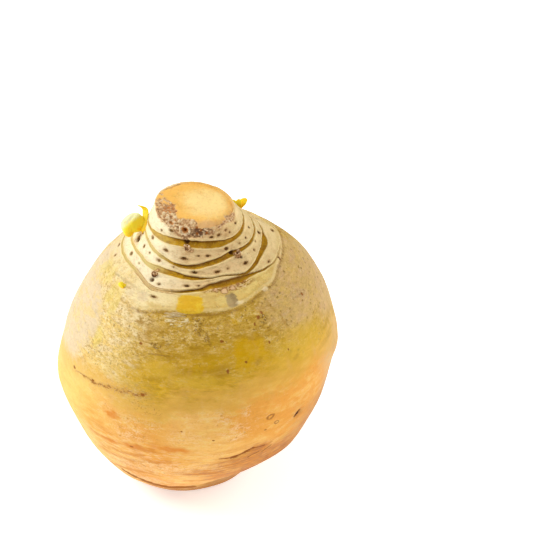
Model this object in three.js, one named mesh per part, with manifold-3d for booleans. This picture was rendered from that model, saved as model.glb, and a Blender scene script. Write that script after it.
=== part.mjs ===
import * as THREE from "three";
import { mergeVertices } from "three/addons/utils/BufferGeometryUtils.js";
import Module from "manifold-3d";

// Sizes are millimetres and degrees. The origin is the centre of the flat spot the root rests on, +Z is up,
// the front is along -Y, and angle 0 looks along +X with -90 at the front.
const segmentCount = 88;
const bodyRows = 3; // rows between two wide body sections
const neckRows = 4; // rows between two close neck sections
const seatGap = 0.3; // left between the root and every sprout or bud

// Radius and height of the swollen root, from the flat spot to the shoulder.
const bodySections = [
  [15, 0], [26.5, 1.9], [32, 5.9], [44.8, 21.6], [54, 38.5], [58.7, 58.5], [56, 78.5], [48.3, 96], [41, 105.2],
];
// Radius and height of the neck, from the shoulder to the cut.
const neckSections = [
  [35.5, 110.2], [31, 113.6], [27, 116.8], [23.5, 120.4], [21, 123.4], [19.2, 126.4], [17.4, 129.6], [16.3, 132.4],
];
// Radius and height across the cut face, from its rounded rim to the middle.
const cutSections = [[15.7, 133.1], [14.4, 133.4], [11, 133.3], [5.5, 133.2], [0, 133.3]];

// The growing axis leans to one side: height and sideways offset.
const axisLean = [
  [0, 0], [6, -1.7], [12, -1.7], [20, -0.1], [36, 2.1], [58, 3.9], [75, 5.9], [88, 7.3], [98, 7.7],
  [108, 7.1], [116, 6.7], [122, 6.1], [133, 5.1],
];
const cutTilt = { alongX: -0.1, alongY: 0.06, fadeFrom: 118, fadeTo: 131 };

// Gentle swellings and hollows: where, how far they reach (degrees, then height) and how far they push.
const swellings = [
  { angle: -176, height: 53, spread: 26, tall: 8, push: 1.7 },
  { angle: -172, height: 70, spread: 16, tall: 5, push: -0.7 },
  { angle: -6, height: 55, spread: 24, tall: 8, push: -0.6 },
  { angle: -10, height: 69, spread: 8, tall: 3, push: 0.9 },
  { angle: -66, height: 12.5, spread: 24, tall: 11, push: -2.5 },
  { angle: -38, height: 32, spread: 13, tall: 5, push: 1.4 },
  { angle: 2, height: 70, spread: 14, tall: 5, push: 0.7 },
  { angle: 60, height: 80, spread: 30, tall: 18, push: 1.0 },
  { angle: 118, height: 45, spread: 26, tall: 20, push: -1.1 },
  { angle: 150, height: 88, spread: 24, tall: 12, push: 0.7 },
  { angle: 20, height: 112, spread: 14, tall: 4, push: 0.9 },
];

// Recessed rings between the leaf scars: angle, height and half-width of the groove at that angle.
const grooveRings = [
  [[-163, 125.5, 0.8], [-127, 126.2, 1.2], [-90, 127, 1.4], [-55, 126.2, 1.3], [-21, 126, 0.9], [20, 126.8, 0.8],
    [80, 126.6, 0.8], [140, 126, 0.9]],
  [[-163, 122.8, 0.7], [-136, 121.2, 0.7], [-104, 119.4, 1], [-75, 120.2, 1.1], [-48, 121.4, 1], [-10, 120.9, 0.8],
    [50, 122, 0.8], [110, 122.8, 0.8], [160, 123.2, 0.7]],
  [[-163, 117, 0.8], [-132, 116.8, 1.1], [-110, 116.7, 1.2], [-80, 116, 0.8], [-48, 115.1, 0.8], [-22, 116.5, 1],
    [0, 117.3, 1.2], [45, 118.6, 0.8], [100, 117.4, 0.8], [150, 116.2, 0.8]],
  [[-168, 113.3, 0.9], [-140, 113.2, 0.9], [-118, 111.9, 0.9], [-90, 112.7, 0.9], [-72, 114.6, 0.9],
    [-50, 114.8, 0.9], [-24, 112.9, 0.9], [10, 112.2, 0.9], [60, 113.6, 0.9], [120, 112.8, 0.9]],
];
const grooveDepth = 0.7;
// The outermost leaf scar ends in a raised lip: angle and height.
const scarLip = [
  [169, 107.8], [-155, 109.8], [-122, 107.2], [-88, 107.7], [-60, 109.1], [-25, 111.2], [15, 110.8], [70, 109.4],
  [120, 108],
];
const lipHeight = 0.45;

const skinColour = "#cfae5c";
const sproutColour = "#f6cf3e";
const dryColour = "#8d6b45";

const radians = THREE.MathUtils.degToRad;

function lookUp(pairs, value) {
  if (value <= pairs[0][0]) return pairs[0][1];
  for (let i = 1; i < pairs.length; i += 1) {
    const [from, low] = pairs[i - 1];
    const [to, high] = pairs[i];
    if (value <= to) return THREE.MathUtils.mapLinear(value, from, to, low, high);
  }
  return pairs[pairs.length - 1][1];
}

// Shortest way round from one angle to another, in degrees.
function turnBetween(from, to) {
  return THREE.MathUtils.euclideanModulo(to - from + 180, 360) - 180;
}

// One column of a closed ring, blended smoothly between the stations on either side of the angle.
function ringValue(stations, angle, column) {
  for (let i = 0; i < stations.length; i += 1) {
    const start = stations[i];
    const end = stations[(i + 1) % stations.length];
    const span = THREE.MathUtils.euclideanModulo(end[0] - start[0], 360);
    const along = THREE.MathUtils.euclideanModulo(angle - start[0], 360);
    if (along <= span) {
      return THREE.MathUtils.lerp(start[column], end[column], THREE.MathUtils.smoothstep(along / span, 0, 1));
    }
  }
  return stations[0][column];
}

function swellingPush(angle, height) {
  let push = 0;
  for (const spot of swellings) {
    const sideways = turnBetween(spot.angle, angle) / spot.spread;
    const upwards = (height - spot.height) / spot.tall;
    push += spot.push * Math.exp(-(sideways * sideways + upwards * upwards));
  }
  return push;
}

function ringRelief(angle, height) {
  let relief = 0;
  for (const stations of grooveRings) {
    const offset = (height - ringValue(stations, angle, 1)) / ringValue(stations, angle, 2);
    relief -= grooveDepth * Math.exp(-offset * offset);
  }
  const lipOffset = (height - ringValue(scarLip, angle, 1)) / 1.2;
  return relief + lipHeight * Math.exp(-lipOffset * lipOffset);
}

// Moves a point of the plain turned shape to its place on the leaning, uneven root.
function placeOnRoot(radius, angle, height) {
  const inside = THREE.MathUtils.smoothstep(radius, 9, 15);
  const onWall = THREE.MathUtils.smoothstep(height, 0, 5);
  const grown = radius + swellingPush(angle, height) * onWall * inside;
  const relief = ringRelief(angle, height) * inside;
  const outwards = grown + relief * 0.75;
  const x = outwards * Math.cos(radians(angle));
  const y = outwards * Math.sin(radians(angle));
  const tilt = THREE.MathUtils.smoothstep(height, cutTilt.fadeFrom, cutTilt.fadeTo);
  const lifted = height + relief * 0.5 + tilt * (cutTilt.alongX * x + cutTilt.alongY * y);
  return new THREE.Vector3(x + lookUp(axisLean, height), y, lifted);
}

function sampleSections(sections, rows) {
  const curve = new THREE.SplineCurve(sections.map(([radius, height]) => new THREE.Vector2(radius, height)));
  return curve.getPoints((sections.length - 1) * rows);
}

function rootProfile() {
  const body = sampleSections(bodySections, bodyRows);
  const neck = sampleSections([bodySections[bodySections.length - 1], ...neckSections], neckRows);
  const cut = cutSections.map(([radius, height]) => new THREE.Vector2(radius, height));
  return [new THREE.Vector2(0, 0), new THREE.Vector2(7, 0), ...body, ...neck.slice(1), ...cut];
}

// A turned shape stood upright along +Z, with its seam closed.
function turned(points, segments) {
  const geometry = new THREE.LatheGeometry(points, segments);
  geometry.rotateX(Math.PI / 2);
  geometry.deleteAttribute("uv");
  geometry.deleteAttribute("normal");
  return mergeVertices(geometry, 1e-4);
}

function moveVertices(geometry, move) {
  const position = geometry.getAttribute("position");
  const point = new THREE.Vector3();
  for (let i = 0; i < position.count; i += 1) {
    point.fromBufferAttribute(position, i);
    const moved = move(point);
    position.setXYZ(i, moved.x, moved.y, moved.z);
  }
  return geometry;
}

function rootGeometry() {
  return moveVertices(turned(rootProfile(), segmentCount), (point) => {
    const angle = THREE.MathUtils.radToDeg(Math.atan2(point.y, point.x));
    return placeOnRoot(Math.hypot(point.x, point.y), angle, point.z);
  });
}

// Radius of the plain neck or shoulder at a height.
function wallRadius(height) {
  const wall = [...bodySections, ...neckSections].map(([radius, level]) => [level, radius]);
  return lookUp(wall, height);
}

// A bud: a turned drop standing on its base, wider than it is deep, bent towards its tip.
function budGeometry({ radius, height, blunt, flat, bend }) {
  const points = [];
  for (let i = 0; i <= 10; i += 1) {
    const along = i / 10;
    const swell = Math.pow(Math.sin(Math.PI * Math.pow(along, blunt)), 0.8);
    points.push(new THREE.Vector2(i === 0 || i === 10 ? 0 : radius * swell, along * height));
  }
  return moveVertices(turned(points, 16), (point) => {
    const along = point.z / height;
    return new THREE.Vector3(point.x + bend * along * along, point.y * flat, point.z);
  });
}

// Stands a bud on the root at an angle and height, leaning away from the growing axis.
function seat(geometry, { angle, height, lean, out, twist }) {
  const foot = placeOnRoot(wallRadius(height) + out, angle, height);
  const place = new THREE.Matrix4().makeTranslation(foot.x, foot.y, foot.z);
  place.multiply(new THREE.Matrix4().makeRotationZ(radians(angle)));
  place.multiply(new THREE.Matrix4().makeRotationY(radians(lean)));
  place.multiply(new THREE.Matrix4().makeRotationZ(radians(twist)));
  return geometry.clone().applyMatrix4(place);
}

const buds = [
  {
    name: "left_sprout_leaf", material: "sprout", shape: { radius: 5, height: 10.6, blunt: 0.75, flat: 0.8, bend: 1.2 },
    place: { angle: -178, height: 118.2, lean: 12, out: 0.4, twist: 8 },
  },
  {
    name: "left_sprout_tip", material: "sprout", shape: { radius: 1.4, height: 8.8, blunt: 0.8, flat: 0.75, bend: 2.6 },
    place: { angle: 172, height: 122.2, lean: -4, out: 0.1, twist: -12 },
  },
  {
    name: "right_sprout", material: "sprout", shape: { radius: 2.4, height: 4.8, blunt: 0.8, flat: 0.8, bend: 0.7 },
    place: { angle: 46, height: 120.8, lean: 14, out: -0.1, twist: 40 },
  },
  {
    name: "shoulder_bud", material: "sprout", shape: { radius: 1.3, height: 2.6, blunt: 0.8, flat: 0.9, bend: 0.3 },
    place: { angle: -144, height: 107.9, lean: 34, out: -0.6, twist: 0 },
  },
  {
    name: "front_dry_bud", material: "dry", shape: { radius: 1.9, height: 3.2, blunt: 0.8, flat: 0.85, bend: 0.2 },
    place: { angle: -99, height: 125.6, lean: 50, out: -0.9, twist: 0 },
  },
  {
    name: "right_dry_bud", material: "dry", shape: { radius: 2.3, height: 3.6, blunt: 0.8, flat: 0.8, bend: 0.3 },
    place: { angle: -47, height: 120.2, lean: 46, out: -1, twist: 10 },
  },
  {
    name: "left_dry_bud", material: "dry", shape: { radius: 1.9, height: 3, blunt: 0.8, flat: 0.8, bend: 0.3 },
    place: { angle: -126, height: 115, lean: 40, out: -0.9, twist: 0 },
  },
];

// The same bud with the seat gap added all round, used to cut its shallow socket.
function socketGeometry({ shape, place }) {
  const grown = {
    ...shape,
    radius: shape.radius + seatGap,
    height: shape.height + 2 * seatGap,
    flat: (shape.radius * shape.flat + seatGap) / (shape.radius + seatGap),
  };
  return seat(budGeometry(grown).translate(0, 0, -seatGap), place);
}

const wasm = await Module();
wasm.setup();

function toSolid(geometry) {
  return new wasm.Manifold(new wasm.Mesh({
    numProp: 3,
    vertProperties: new Float32Array(geometry.getAttribute("position").array),
    triVerts: new Uint32Array(geometry.getIndex().array),
  }));
}

function toGeometry(solid) {
  const mesh = solid.getMesh();
  const geometry = new THREE.BufferGeometry();
  geometry.setAttribute("position", new THREE.BufferAttribute(new Float32Array(mesh.vertProperties), 3));
  geometry.setIndex(new THREE.BufferAttribute(new Uint32Array(mesh.triVerts), 1));
  return geometry;
}

function addMesh(group, name, geometry, colour, roughness) {
  geometry.computeVertexNormals();
  const material = new THREE.MeshStandardMaterial({ color: colour, roughness, metalness: 0 });
  const mesh = new THREE.Mesh(geometry, material);
  mesh.name = name;
  group.add(mesh);
}

let rootSolid = toSolid(rootGeometry());
for (const bud of buds) {
  rootSolid = rootSolid.subtract(toSolid(socketGeometry(bud)));
}

const turnip = new THREE.Group();
turnip.name = "turnip";
addMesh(turnip, "root", toGeometry(rootSolid), skinColour, 0.6);
for (const bud of buds) {
  const colour = bud.material === "sprout" ? sproutColour : dryColour;
  addMesh(turnip, bud.name, seat(budGeometry(bud.shape), bud.place), colour, bud.material === "sprout" ? 0.4 : 0.85);
}

export default turnip;
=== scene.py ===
import math
import random

import bmesh
import bpy
from mathutils import Matrix, Vector, noise


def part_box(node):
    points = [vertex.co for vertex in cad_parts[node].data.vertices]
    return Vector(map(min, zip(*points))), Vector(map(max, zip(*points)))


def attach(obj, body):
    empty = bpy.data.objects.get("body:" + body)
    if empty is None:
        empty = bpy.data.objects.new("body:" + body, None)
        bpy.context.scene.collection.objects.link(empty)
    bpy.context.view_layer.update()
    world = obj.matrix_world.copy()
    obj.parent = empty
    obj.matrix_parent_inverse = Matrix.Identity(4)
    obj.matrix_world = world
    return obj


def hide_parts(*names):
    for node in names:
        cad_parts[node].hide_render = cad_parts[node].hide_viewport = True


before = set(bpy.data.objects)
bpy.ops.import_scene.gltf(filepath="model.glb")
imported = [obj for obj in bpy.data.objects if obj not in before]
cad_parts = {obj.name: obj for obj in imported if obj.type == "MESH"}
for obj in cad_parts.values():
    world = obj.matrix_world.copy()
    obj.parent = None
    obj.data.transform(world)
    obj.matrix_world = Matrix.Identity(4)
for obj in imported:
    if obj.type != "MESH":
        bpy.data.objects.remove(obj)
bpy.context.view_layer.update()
print("frame loaded")

mm = 0.001  # lengths are worked out in mm


def clamp(value, low=0.0, high=1.0):
    return max(low, min(high, value))


def smooth(value, low, high):
    t = clamp((value - low) / (high - low))
    return t * t * (3 - 2 * t)


def turnBetween(start, end):
    return (end - start + 180) % 360 - 180


def curveThrough(before, start, end, after, t):
    # Catmull-Rom value between start and end
    linear = (end - before) * t
    square = (2 * before - 5 * start + 4 * end - after) * t * t
    cube = (3 * start - before - 3 * end + after) * t * t * t
    return 0.5 * (2 * start + linear + square + cube)


def ringValues(stations, angle):
    # every column of a closed ring of stations, at an angle in degrees
    count = len(stations)
    for i in range(count):
        start, end = stations[i], stations[(i + 1) % count]
        span = (end[0] - start[0]) % 360
        along = (angle - start[0]) % 360
        if along < span:
            around = (stations[i - 1], start, end, stations[(i + 2) % count])
            columns = zip(*(station[1:] for station in around))
            return [curveThrough(*column, along / span) for column in columns]
    return list(stations[0][1:])


def levelValue(pairs, level):
    # value on the straight line between the two pairs around a level
    if level <= pairs[0][0]:
        return pairs[0][1]
    for (low, first), (high, second) in zip(pairs, pairs[1:]):
        if level <= high:
            return first + (second - first) * (level - low) / (high - low)
    return pairs[-1][1]


noiseFade, noiseGap = 0.9, 2.1  # how fast the finer layers of a noise fade, and how much finer each one is


def fractal(x, y, z, scale, octaves=4):
    return noise.fractal(Vector((x, y, z)) * scale, noiseFade, noiseGap, octaves)


# Lengths in mm and angles in degrees, -90 at the front and 0 at the right.
rootLook = {
    "columns": 360,
    "bodyStep": 1.6,  # spacing of rows down the body
    "neckStep": 0.34,  # spacing of rows on the ringed neck
    "cutStep": 0.55,  # spacing of rows on the cut face
    "fineFrom": 104,  # height above which the rows lie close
    "neckFoot": 101,  # height at which the ringed neck begins
    "rimFoot": 127,  # height above which the rim may be decayed
    "axisMiddle": 4.5,  # the growing axis at mid height, to the right of the rest spot
    "grooveDepth": 1.1,
    "scarRim": 0.3,  # raised border of each leaf scar
    "scarHollow": 0.2,
    "shallowAngle": -165,  # where the grooves are shallowest
    "lipHeight": 0.5,
    "lumpRise": 0.55,
    "hollowSink": 0.9,
    "lumps": 0.5,
    "wrinkles": 0.07,
}
farOff = 3.0  # distance in mm from a mark past which it changes nothing

# Half width and height from the rest spot up to the cut face.
bodySections = [
    (15, 0), (26.5, 1.9), (32, 5.9), (44.8, 21.6), (54, 38.5), (58.7, 58.5), (56, 78.5), (48.3, 96),
    (41, 105.2),
]
neckSections = [
    (35.5, 110.2), (31, 113.6), (27, 116.8), (23.5, 120.4), (21, 123.4), (19.2, 126.4), (17.4, 129.6),
    (16.3, 132.4), (15.7, 133.1),
]
cutSections = [(14.4, 133.4), (11, 133.3), (5.5, 133.2), (0, 133.3)]

# How far the axis leans to the right at each height.
axisLean = [
    (0, 0), (6, -1.7), (12, -1.7), (20, -0.1), (36, 2.1), (58, 3.9), (75, 5.9), (88, 7.3), (98, 7.7),
    (108, 7.1), (116, 6.7), (122, 6.1), (133, 5.1),
]
cutTilt = {"alongX": -0.1, "alongY": 0.06, "fadeFrom": 118, "fadeTo": 131}

# Bulges and dents: angle, height, spread round, spread up, push.
swellings = [
    (-176, 53, 26, 8, 1.7), (-172, 70, 16, 5, -0.7), (-6, 55, 24, 8, -0.6), (-10, 69, 8, 3, 0.9),
    (-66, 12.5, 24, 11, -2.5), (-38, 32, 13, 5, 1.4), (2, 70, 14, 5, 0.7), (60, 80, 30, 18, 1.0),
    (118, 45, 26, 20, -1.1), (150, 88, 24, 12, 0.7), (20, 112, 14, 4, 0.9),
]

# The recessed rings between leaf scars: angle, upper edge, lower edge.
grooves = [
    [
        (-156, 126.0, 125.2), (-142, 126.7, 125.0), (-124, 127.6, 125.2), (-108, 128.2, 125.6),
        (-92, 128.4, 125.7), (-77, 128.3, 125.5), (-62, 127.9, 125.1), (-50, 127.2, 125.2),
        (-32, 126.7, 125.2), (-16, 126.9, 125.6), (0, 127.3, 126.3), (60, 127.4, 126.0),
        (120, 127.1, 126.2), (172, 126.0, 125.1),
    ],
    [
        (-162, 122.8, 122.4), (-150, 122.2, 121.7), (-136, 121.3, 120.7), (-122, 120.6, 119.9),
        (-112, 120.0, 119.2), (-101, 119.8, 118.6), (-90, 120.2, 118.6), (-78, 121.0, 119.3),
        (-64, 121.8, 120.0), (-52, 122.4, 120.5), (-40, 121.8, 120.5), (-22, 121.3, 120.4),
        (-4, 121.3, 120.7), (50, 122.4, 121.2), (110, 123.0, 122.0), (160, 123.2, 122.7),
    ],
    [
        (174, 116.1, 115.6), (-166, 117.1, 116.6), (-151, 117.4, 116.8), (-137, 117.0, 116.3),
        (-125, 117.5, 116.0), (-112, 117.5, 116.0), (-102, 117.1, 115.7), (-90, 116.6, 115.6),
        (-80, 116.2, 115.8), (-66, 116.1, 115.7), (-48, 115.2, 114.6), (-36, 116.1, 115.2),
        (-22, 117.1, 116.0), (-4, 118.0, 116.1), (8, 118.2, 117.5), (50, 119.0, 118.0),
        (100, 117.7, 116.6), (140, 116.5, 115.7),
    ],
    [
        (168, 112.6, 112.2), (-168, 113.4, 113.0), (-150, 113.8, 113.4), (-138, 113.4, 113.0),
        (-124, 112.0, 111.6), (-112, 112.2, 111.8), (-100, 112.9, 112.2), (-90, 113.6, 112.7),
        (-80, 114.6, 113.2), (-68, 115.0, 113.3), (-57, 114.9, 113.2), (-48, 114.5, 113.5),
        (-35, 113.6, 113.1), (-22, 112.9, 112.5),
        (0, 112.7, 112.2), (16, 112.2, 111.7), (30, 114.6, 114.1), (60, 114.9, 114.3),
        (110, 113.5, 113.0), (140, 112.8, 112.3),
    ],
]
# The lip where the outermost leaf scar ends: angle, height, strength.
scarLip = [
    (170, 107.9, 0.3), (-160, 109.1, 0.3), (-145, 107.2, 0.35), (-126, 105.4, 0.5), (-118, 106.3, 0.8),
    (-110, 107.2, 1.0), (-98, 107.7, 1.0), (-86, 107.7, 1.0), (-74, 107.5, 1.0), (-66, 107.9, 1.1),
    (-56, 108.8, 1.1), (-45, 109.7, 1.0), (-36, 109.9, 0.9), (-22, 111.7, 0.8), (2, 112.2, 0.8),
    (19, 112.2, 0.7), (60, 110.4, 0.5), (120, 108.8, 0.4),
]
# Brown crumbly lumps just under the outermost recess: angle, height, radius.
lumpSpots = [
    (-77, 112.8, 1.1), (-71, 112.2, 1.5), (-65, 112.5, 1.3), (-60, 113.0, 0.9), (-54, 113.2, 0.7),
    (-48, 120.0, 1.0), (-125, 116.2, 1.0), (-98, 125.0, 1.3), (-94, 124.6, 0.9),
]
# Dark hollows in the skin: angle, height, radius.
hollowSpots = [
    (-126, 113.6, 1.1), (-50, 121.9, 1.1), (-44, 119.2, 0.8), (-100, 127.9, 1.4), (-170, 118.9, 1.2),
]
# The decayed part of the rim: angle, how far in it reaches on the cut, how far down on the wall.
decayedRim = [
    (157, 14.6, 133.6), (176, 10.8, 133.4), (-168, 8.2, 132.9), (-161, 8.4, 132.7), (-148, 8.8, 131.3),
    (-140, 9.2, 131.1), (-133, 10.4, 131.0), (-121, 12.0, 130.6), (-112, 11.4, 128.8), (-100, 10.4, 128.2),
    (-92, 10.2, 129.4), (-86, 11.8, 129.9), (-79, 15.2, 129.9), (-70, 15.9, 130.1), (-60, 16.2, 130.8),
    (-49, 16.0, 132.0), (-38, 15.4, 132.7), (-26, 14.2, 131.4), (-13, 15.4, 131.4), (0, 16.6, 133.4),
    (75, 17.5, 134.5),
]
# Pits in the decayed rim before the axis leans: place in mm, radius, depth.
rimPits = [
    (-3.6, -16.3, 131.9, 1.5, 1.7), (-9.0, -13.0, 133.0, 1.2, 1.6), (-10.4, -3.2, 133.3, 0.8, 0.7),
    (-11.6, -0.6, 133.3, 0.6, 0.7), (-9.7, -6.0, 133.3, 0.8, 0.8), (-7.3, -11.3, 133.3, 0.5, 0.8),
    (-5.4, -10.4, 133.3, 0.5, 0.7), (-1.4, -11.2, 133.3, 0.6, 0.8), (-14.0, 2.0, 133.2, 0.5, 0.6),
    (-11.8, 5.1, 133.3, 0.4, 0.5), (1.4, -14.2, 133.3, 0.8, 0.9), (3.2, -16.3, 132.4, 0.7, 0.9),
    (5.6, -16.2, 131.0, 0.8, 0.9), (1.4, -17.0, 130.9, 0.7, 0.8), (13.6, -9.2, 132.4, 0.5, 0.6),
]
# Creases in the skin of the body: turn and height of both ends, width, depth.
creases = [
    (-60, 70.6, -52, 72.4, 0.8, 0.12), (-52, 72.4, -45, 73.6, 0.8, 0.2), (-45, 73.6, -33, 75.6, 0.9, 0.3),
    (-33, 75.6, -27, 76.2, 1.0, 0.4), (-27, 76.2, -19, 77.2, 0.8, 0.2), (11, 45.2, 16, 43.9, 0.9, 0.3),
    (16, 43.9, 21, 45.0, 1.1, 0.7), (21, 45.0, 26, 46.8, 1.1, 0.8), (26, 46.8, 31, 46.2, 1.0, 0.4),
    (45.6, 55.6, 48.6, 57.2, 1.0, 0.8), (-42, 22.0, -32, 18.0, 1.5, 0.8), (-32, 18.0, -17, 12.5, 1.8, 1.1),
    (-17, 12.5, 8, 10.0, 1.8, 0.8),
]
# Scars of the leaves' veins: angle, height, half length, half width.
veinDots = [
    (-122, 130.0, 0.85, 0.40), (-67, 129.4, 0.70, 0.34), (-56, 129.6, 0.75, 0.40),
    (-43, 130.3, 0.62, 0.36), (-39, 128.9, 0.40, 0.26), (-20, 129.9, 0.62, 0.38),
    (-137, 128.2, 0.40, 0.26), (-148, 123.9, 0.75, 0.50), (-124, 122.8, 0.95, 0.50),
    (-102, 121.7, 1.15, 0.48), (-87, 122.9, 0.50, 0.24), (-77, 122.7, 0.80, 0.40),
    (-54, 123.8, 0.75, 0.62), (-35, 123.2, 0.35, 0.22), (-22, 123.0, 0.50, 0.42), (-3, 123.5, 0.50, 0.46),
    (-173, 119.4, 0.80, 1.00), (-154, 119.8, 0.55, 0.62), (-142, 119.6, 0.35, 0.30),
    (-128, 119.1, 0.95, 0.42), (-111, 118.6, 0.35, 0.20), (-92, 117.7, 0.95, 0.36),
    (-72, 117.4, 1.00, 0.42), (-62, 117.6, 0.45, 0.26), (-44, 117.1, 1.05, 0.50),
    (-26, 118.5, 0.45, 0.32), (-16, 119.8, 0.40, 0.34), (1, 119.3, 0.70, 0.60), (-162, 115.2, 0.85, 0.70),
    (-146, 115.3, 0.35, 0.24), (-119, 113.2, 0.55, 0.40), (-98, 114.1, 0.95, 0.38),
    (-89, 114.2, 0.55, 0.28), (-24, 113.7, 0.70, 0.34), (18, 114.0, 0.80, 0.50),
    (-174, 110.6, 0.55, 0.50), (-119, 109.8, 1.10, 0.42), (-14, 112.0, 0.50, 0.85),
]


def backVeinDots():
    # the same marks carried round the far side, evenly strewn along each leaf scar
    picker = random.Random(11)
    dots = []
    for height in (129.6, 124.4, 120.2, 116.2, 111.6):
        angle = 20 + picker.uniform(0, 14)
        while angle < 176:
            level = height + picker.uniform(-0.5, 0.5)
            dots.append((angle, level, picker.uniform(0.4, 0.95), picker.uniform(0.26, 0.5)))
            angle += picker.uniform(11, 24)
    return dots


allDots = veinDots + backVeinDots()


def swellingPush(angle, height):
    push = 0
    for where, level, spread, tall, amount in swellings:
        sideways = turnBetween(where, angle) / spread
        upwards = (height - level) / tall
        reach = sideways * sideways + upwards * upwards
        if reach < 9:
            push += amount * math.exp(-reach)
    return push


def sampleSections(sections, steps):
    # points along a smooth line through the sections, each stretch cut to about its own step
    points = [Vector(sections[0])]
    last = len(sections) - 1
    for i in range(last):
        before, start = sections[max(i - 1, 0)], sections[i]
        end, after = sections[i + 1], sections[min(i + 2, last)]
        length = math.dist(start, end)
        pieces = max(2, round(length / steps(start[1])))
        for k in range(1, pieces + 1):
            t = k / pieces
            points.append(Vector(curveThrough(before[j], start[j], end[j], after[j], t) for j in range(2)))
    return points


def rootProfile():
    look = rootLook

    def step(height):
        return look["neckStep"] if height > look["fineFrom"] else look["bodyStep"]

    wall = sampleSections(bodySections + neckSections, step)
    cut = sampleSections([neckSections[-1]] + cutSections, lambda height: look["cutStep"])
    base = [Vector((bodySections[0][0] * i / 5, 0)) for i in range(5)]
    return base + wall + cut[1:]


def profileNormals(points):
    last = len(points) - 1
    normals = []
    for i in range(last + 1):
        along = points[min(i + 1, last)] - points[max(i - 1, 0)]
        normals.append(Vector((along.y, -along.x)).normalized())
    return normals


topScar, lastScarFoot = 133.0, 107.0  # where the uppermost leaf scar begins and the last one ends


def grooveState(edges, height, slope):
    # signed distance outside the nearest groove in mm along the wall, how high the point lies in that
    # groove (-1 lower edge, 1 upper edge), the scar it belongs to and how far down that scar it lies
    distance, inGroove = 9.0, 0.0
    scar = 0
    for i, (upper, lower) in enumerate(edges):
        middle, half = (upper + lower) / 2, (upper - lower) / 2
        away = (abs(height - middle) - half) * slope
        if away < distance:
            distance = away
            inGroove = clamp((height - middle) / half, -3.0, 3.0)
        if height < middle:
            scar = i + 1
    top = edges[scar - 1][1] if scar > 0 else topScar
    bottom = edges[scar][0] if scar < len(edges) else lastScarFoot
    across = clamp((top - height) / (top - bottom)) if top > bottom else 1.0
    return distance, inGroove, scar, across


def nearestDot(radius, angle, height, slope):
    # signed distance in mm outside the nearest oval mark, drawn a little larger than its half sizes
    nearest = farOff
    for where, level, length, width in allDots:
        up = (height - level) * slope
        if abs(up) > 2.5:
            continue
        sideways = math.radians(turnBetween(where, angle)) * radius
        if abs(sideways) > 3.5:
            continue
        away = math.hypot(sideways / (length * 1.15), up / (width * 1.2))
        nearest = min(nearest, (away - 1) * width)
    return nearest


def nearestSpot(spots, radius, angle, height, slope):
    # signed distance in mm outside the nearest round spot
    nearest = farOff
    for where, level, size in spots:
        up = (height - level) * slope
        if abs(up) < 4:
            sideways = math.radians(turnBetween(where, angle)) * radius
            nearest = min(nearest, math.hypot(sideways, up) - size)
    return nearest


def grooveDepth(inGroove):
    # a recess cut back under its upper edge that eases out towards its lower edge
    return smooth(inGroove, -1.25, 0.1) * (1 - smooth(inGroove, 0.85, 1.15))


def nearestCrease(turn, height):
    # how deep the skin is drawn in by the creases near a turn and height
    depth = 0.0
    for startTurn, startHeight, endTurn, endHeight, width, deep in creases:
        if abs(height - startHeight) > 8:
            continue
        across, up = endTurn - startTurn, endHeight - startHeight
        aside, above = turn - startTurn, height - startHeight
        along = clamp((aside * across + above * up) / (across * across + up * up))
        away = math.hypot(aside - along * across, above - along * up)
        shoulder = 0.3 * deep * math.exp(-((away - 2.2) / 1.0) ** 2)
        depth = max(depth, deep * math.exp(-(away / width) ** 2) - shoulder)
    return depth


def rimPit(x, y, height):
    # how deep the nearest pit of the rim is, the distance outside it in mm and how high its border stands
    nearest, sunk, border = farOff, 0.0, 0.0
    for across, along, level, size, depth in rimPits:
        away = math.dist((x, y, height), (across, along, level)) - size
        if away < nearest:
            nearest = away
            sunk = depth * (1 - smooth(away, -size, 0.2))
            border = math.exp(-((away - 0.5) / 0.4) ** 2) * smooth(size, 0.9, 1.4)
    return sunk, nearest, border


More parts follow.
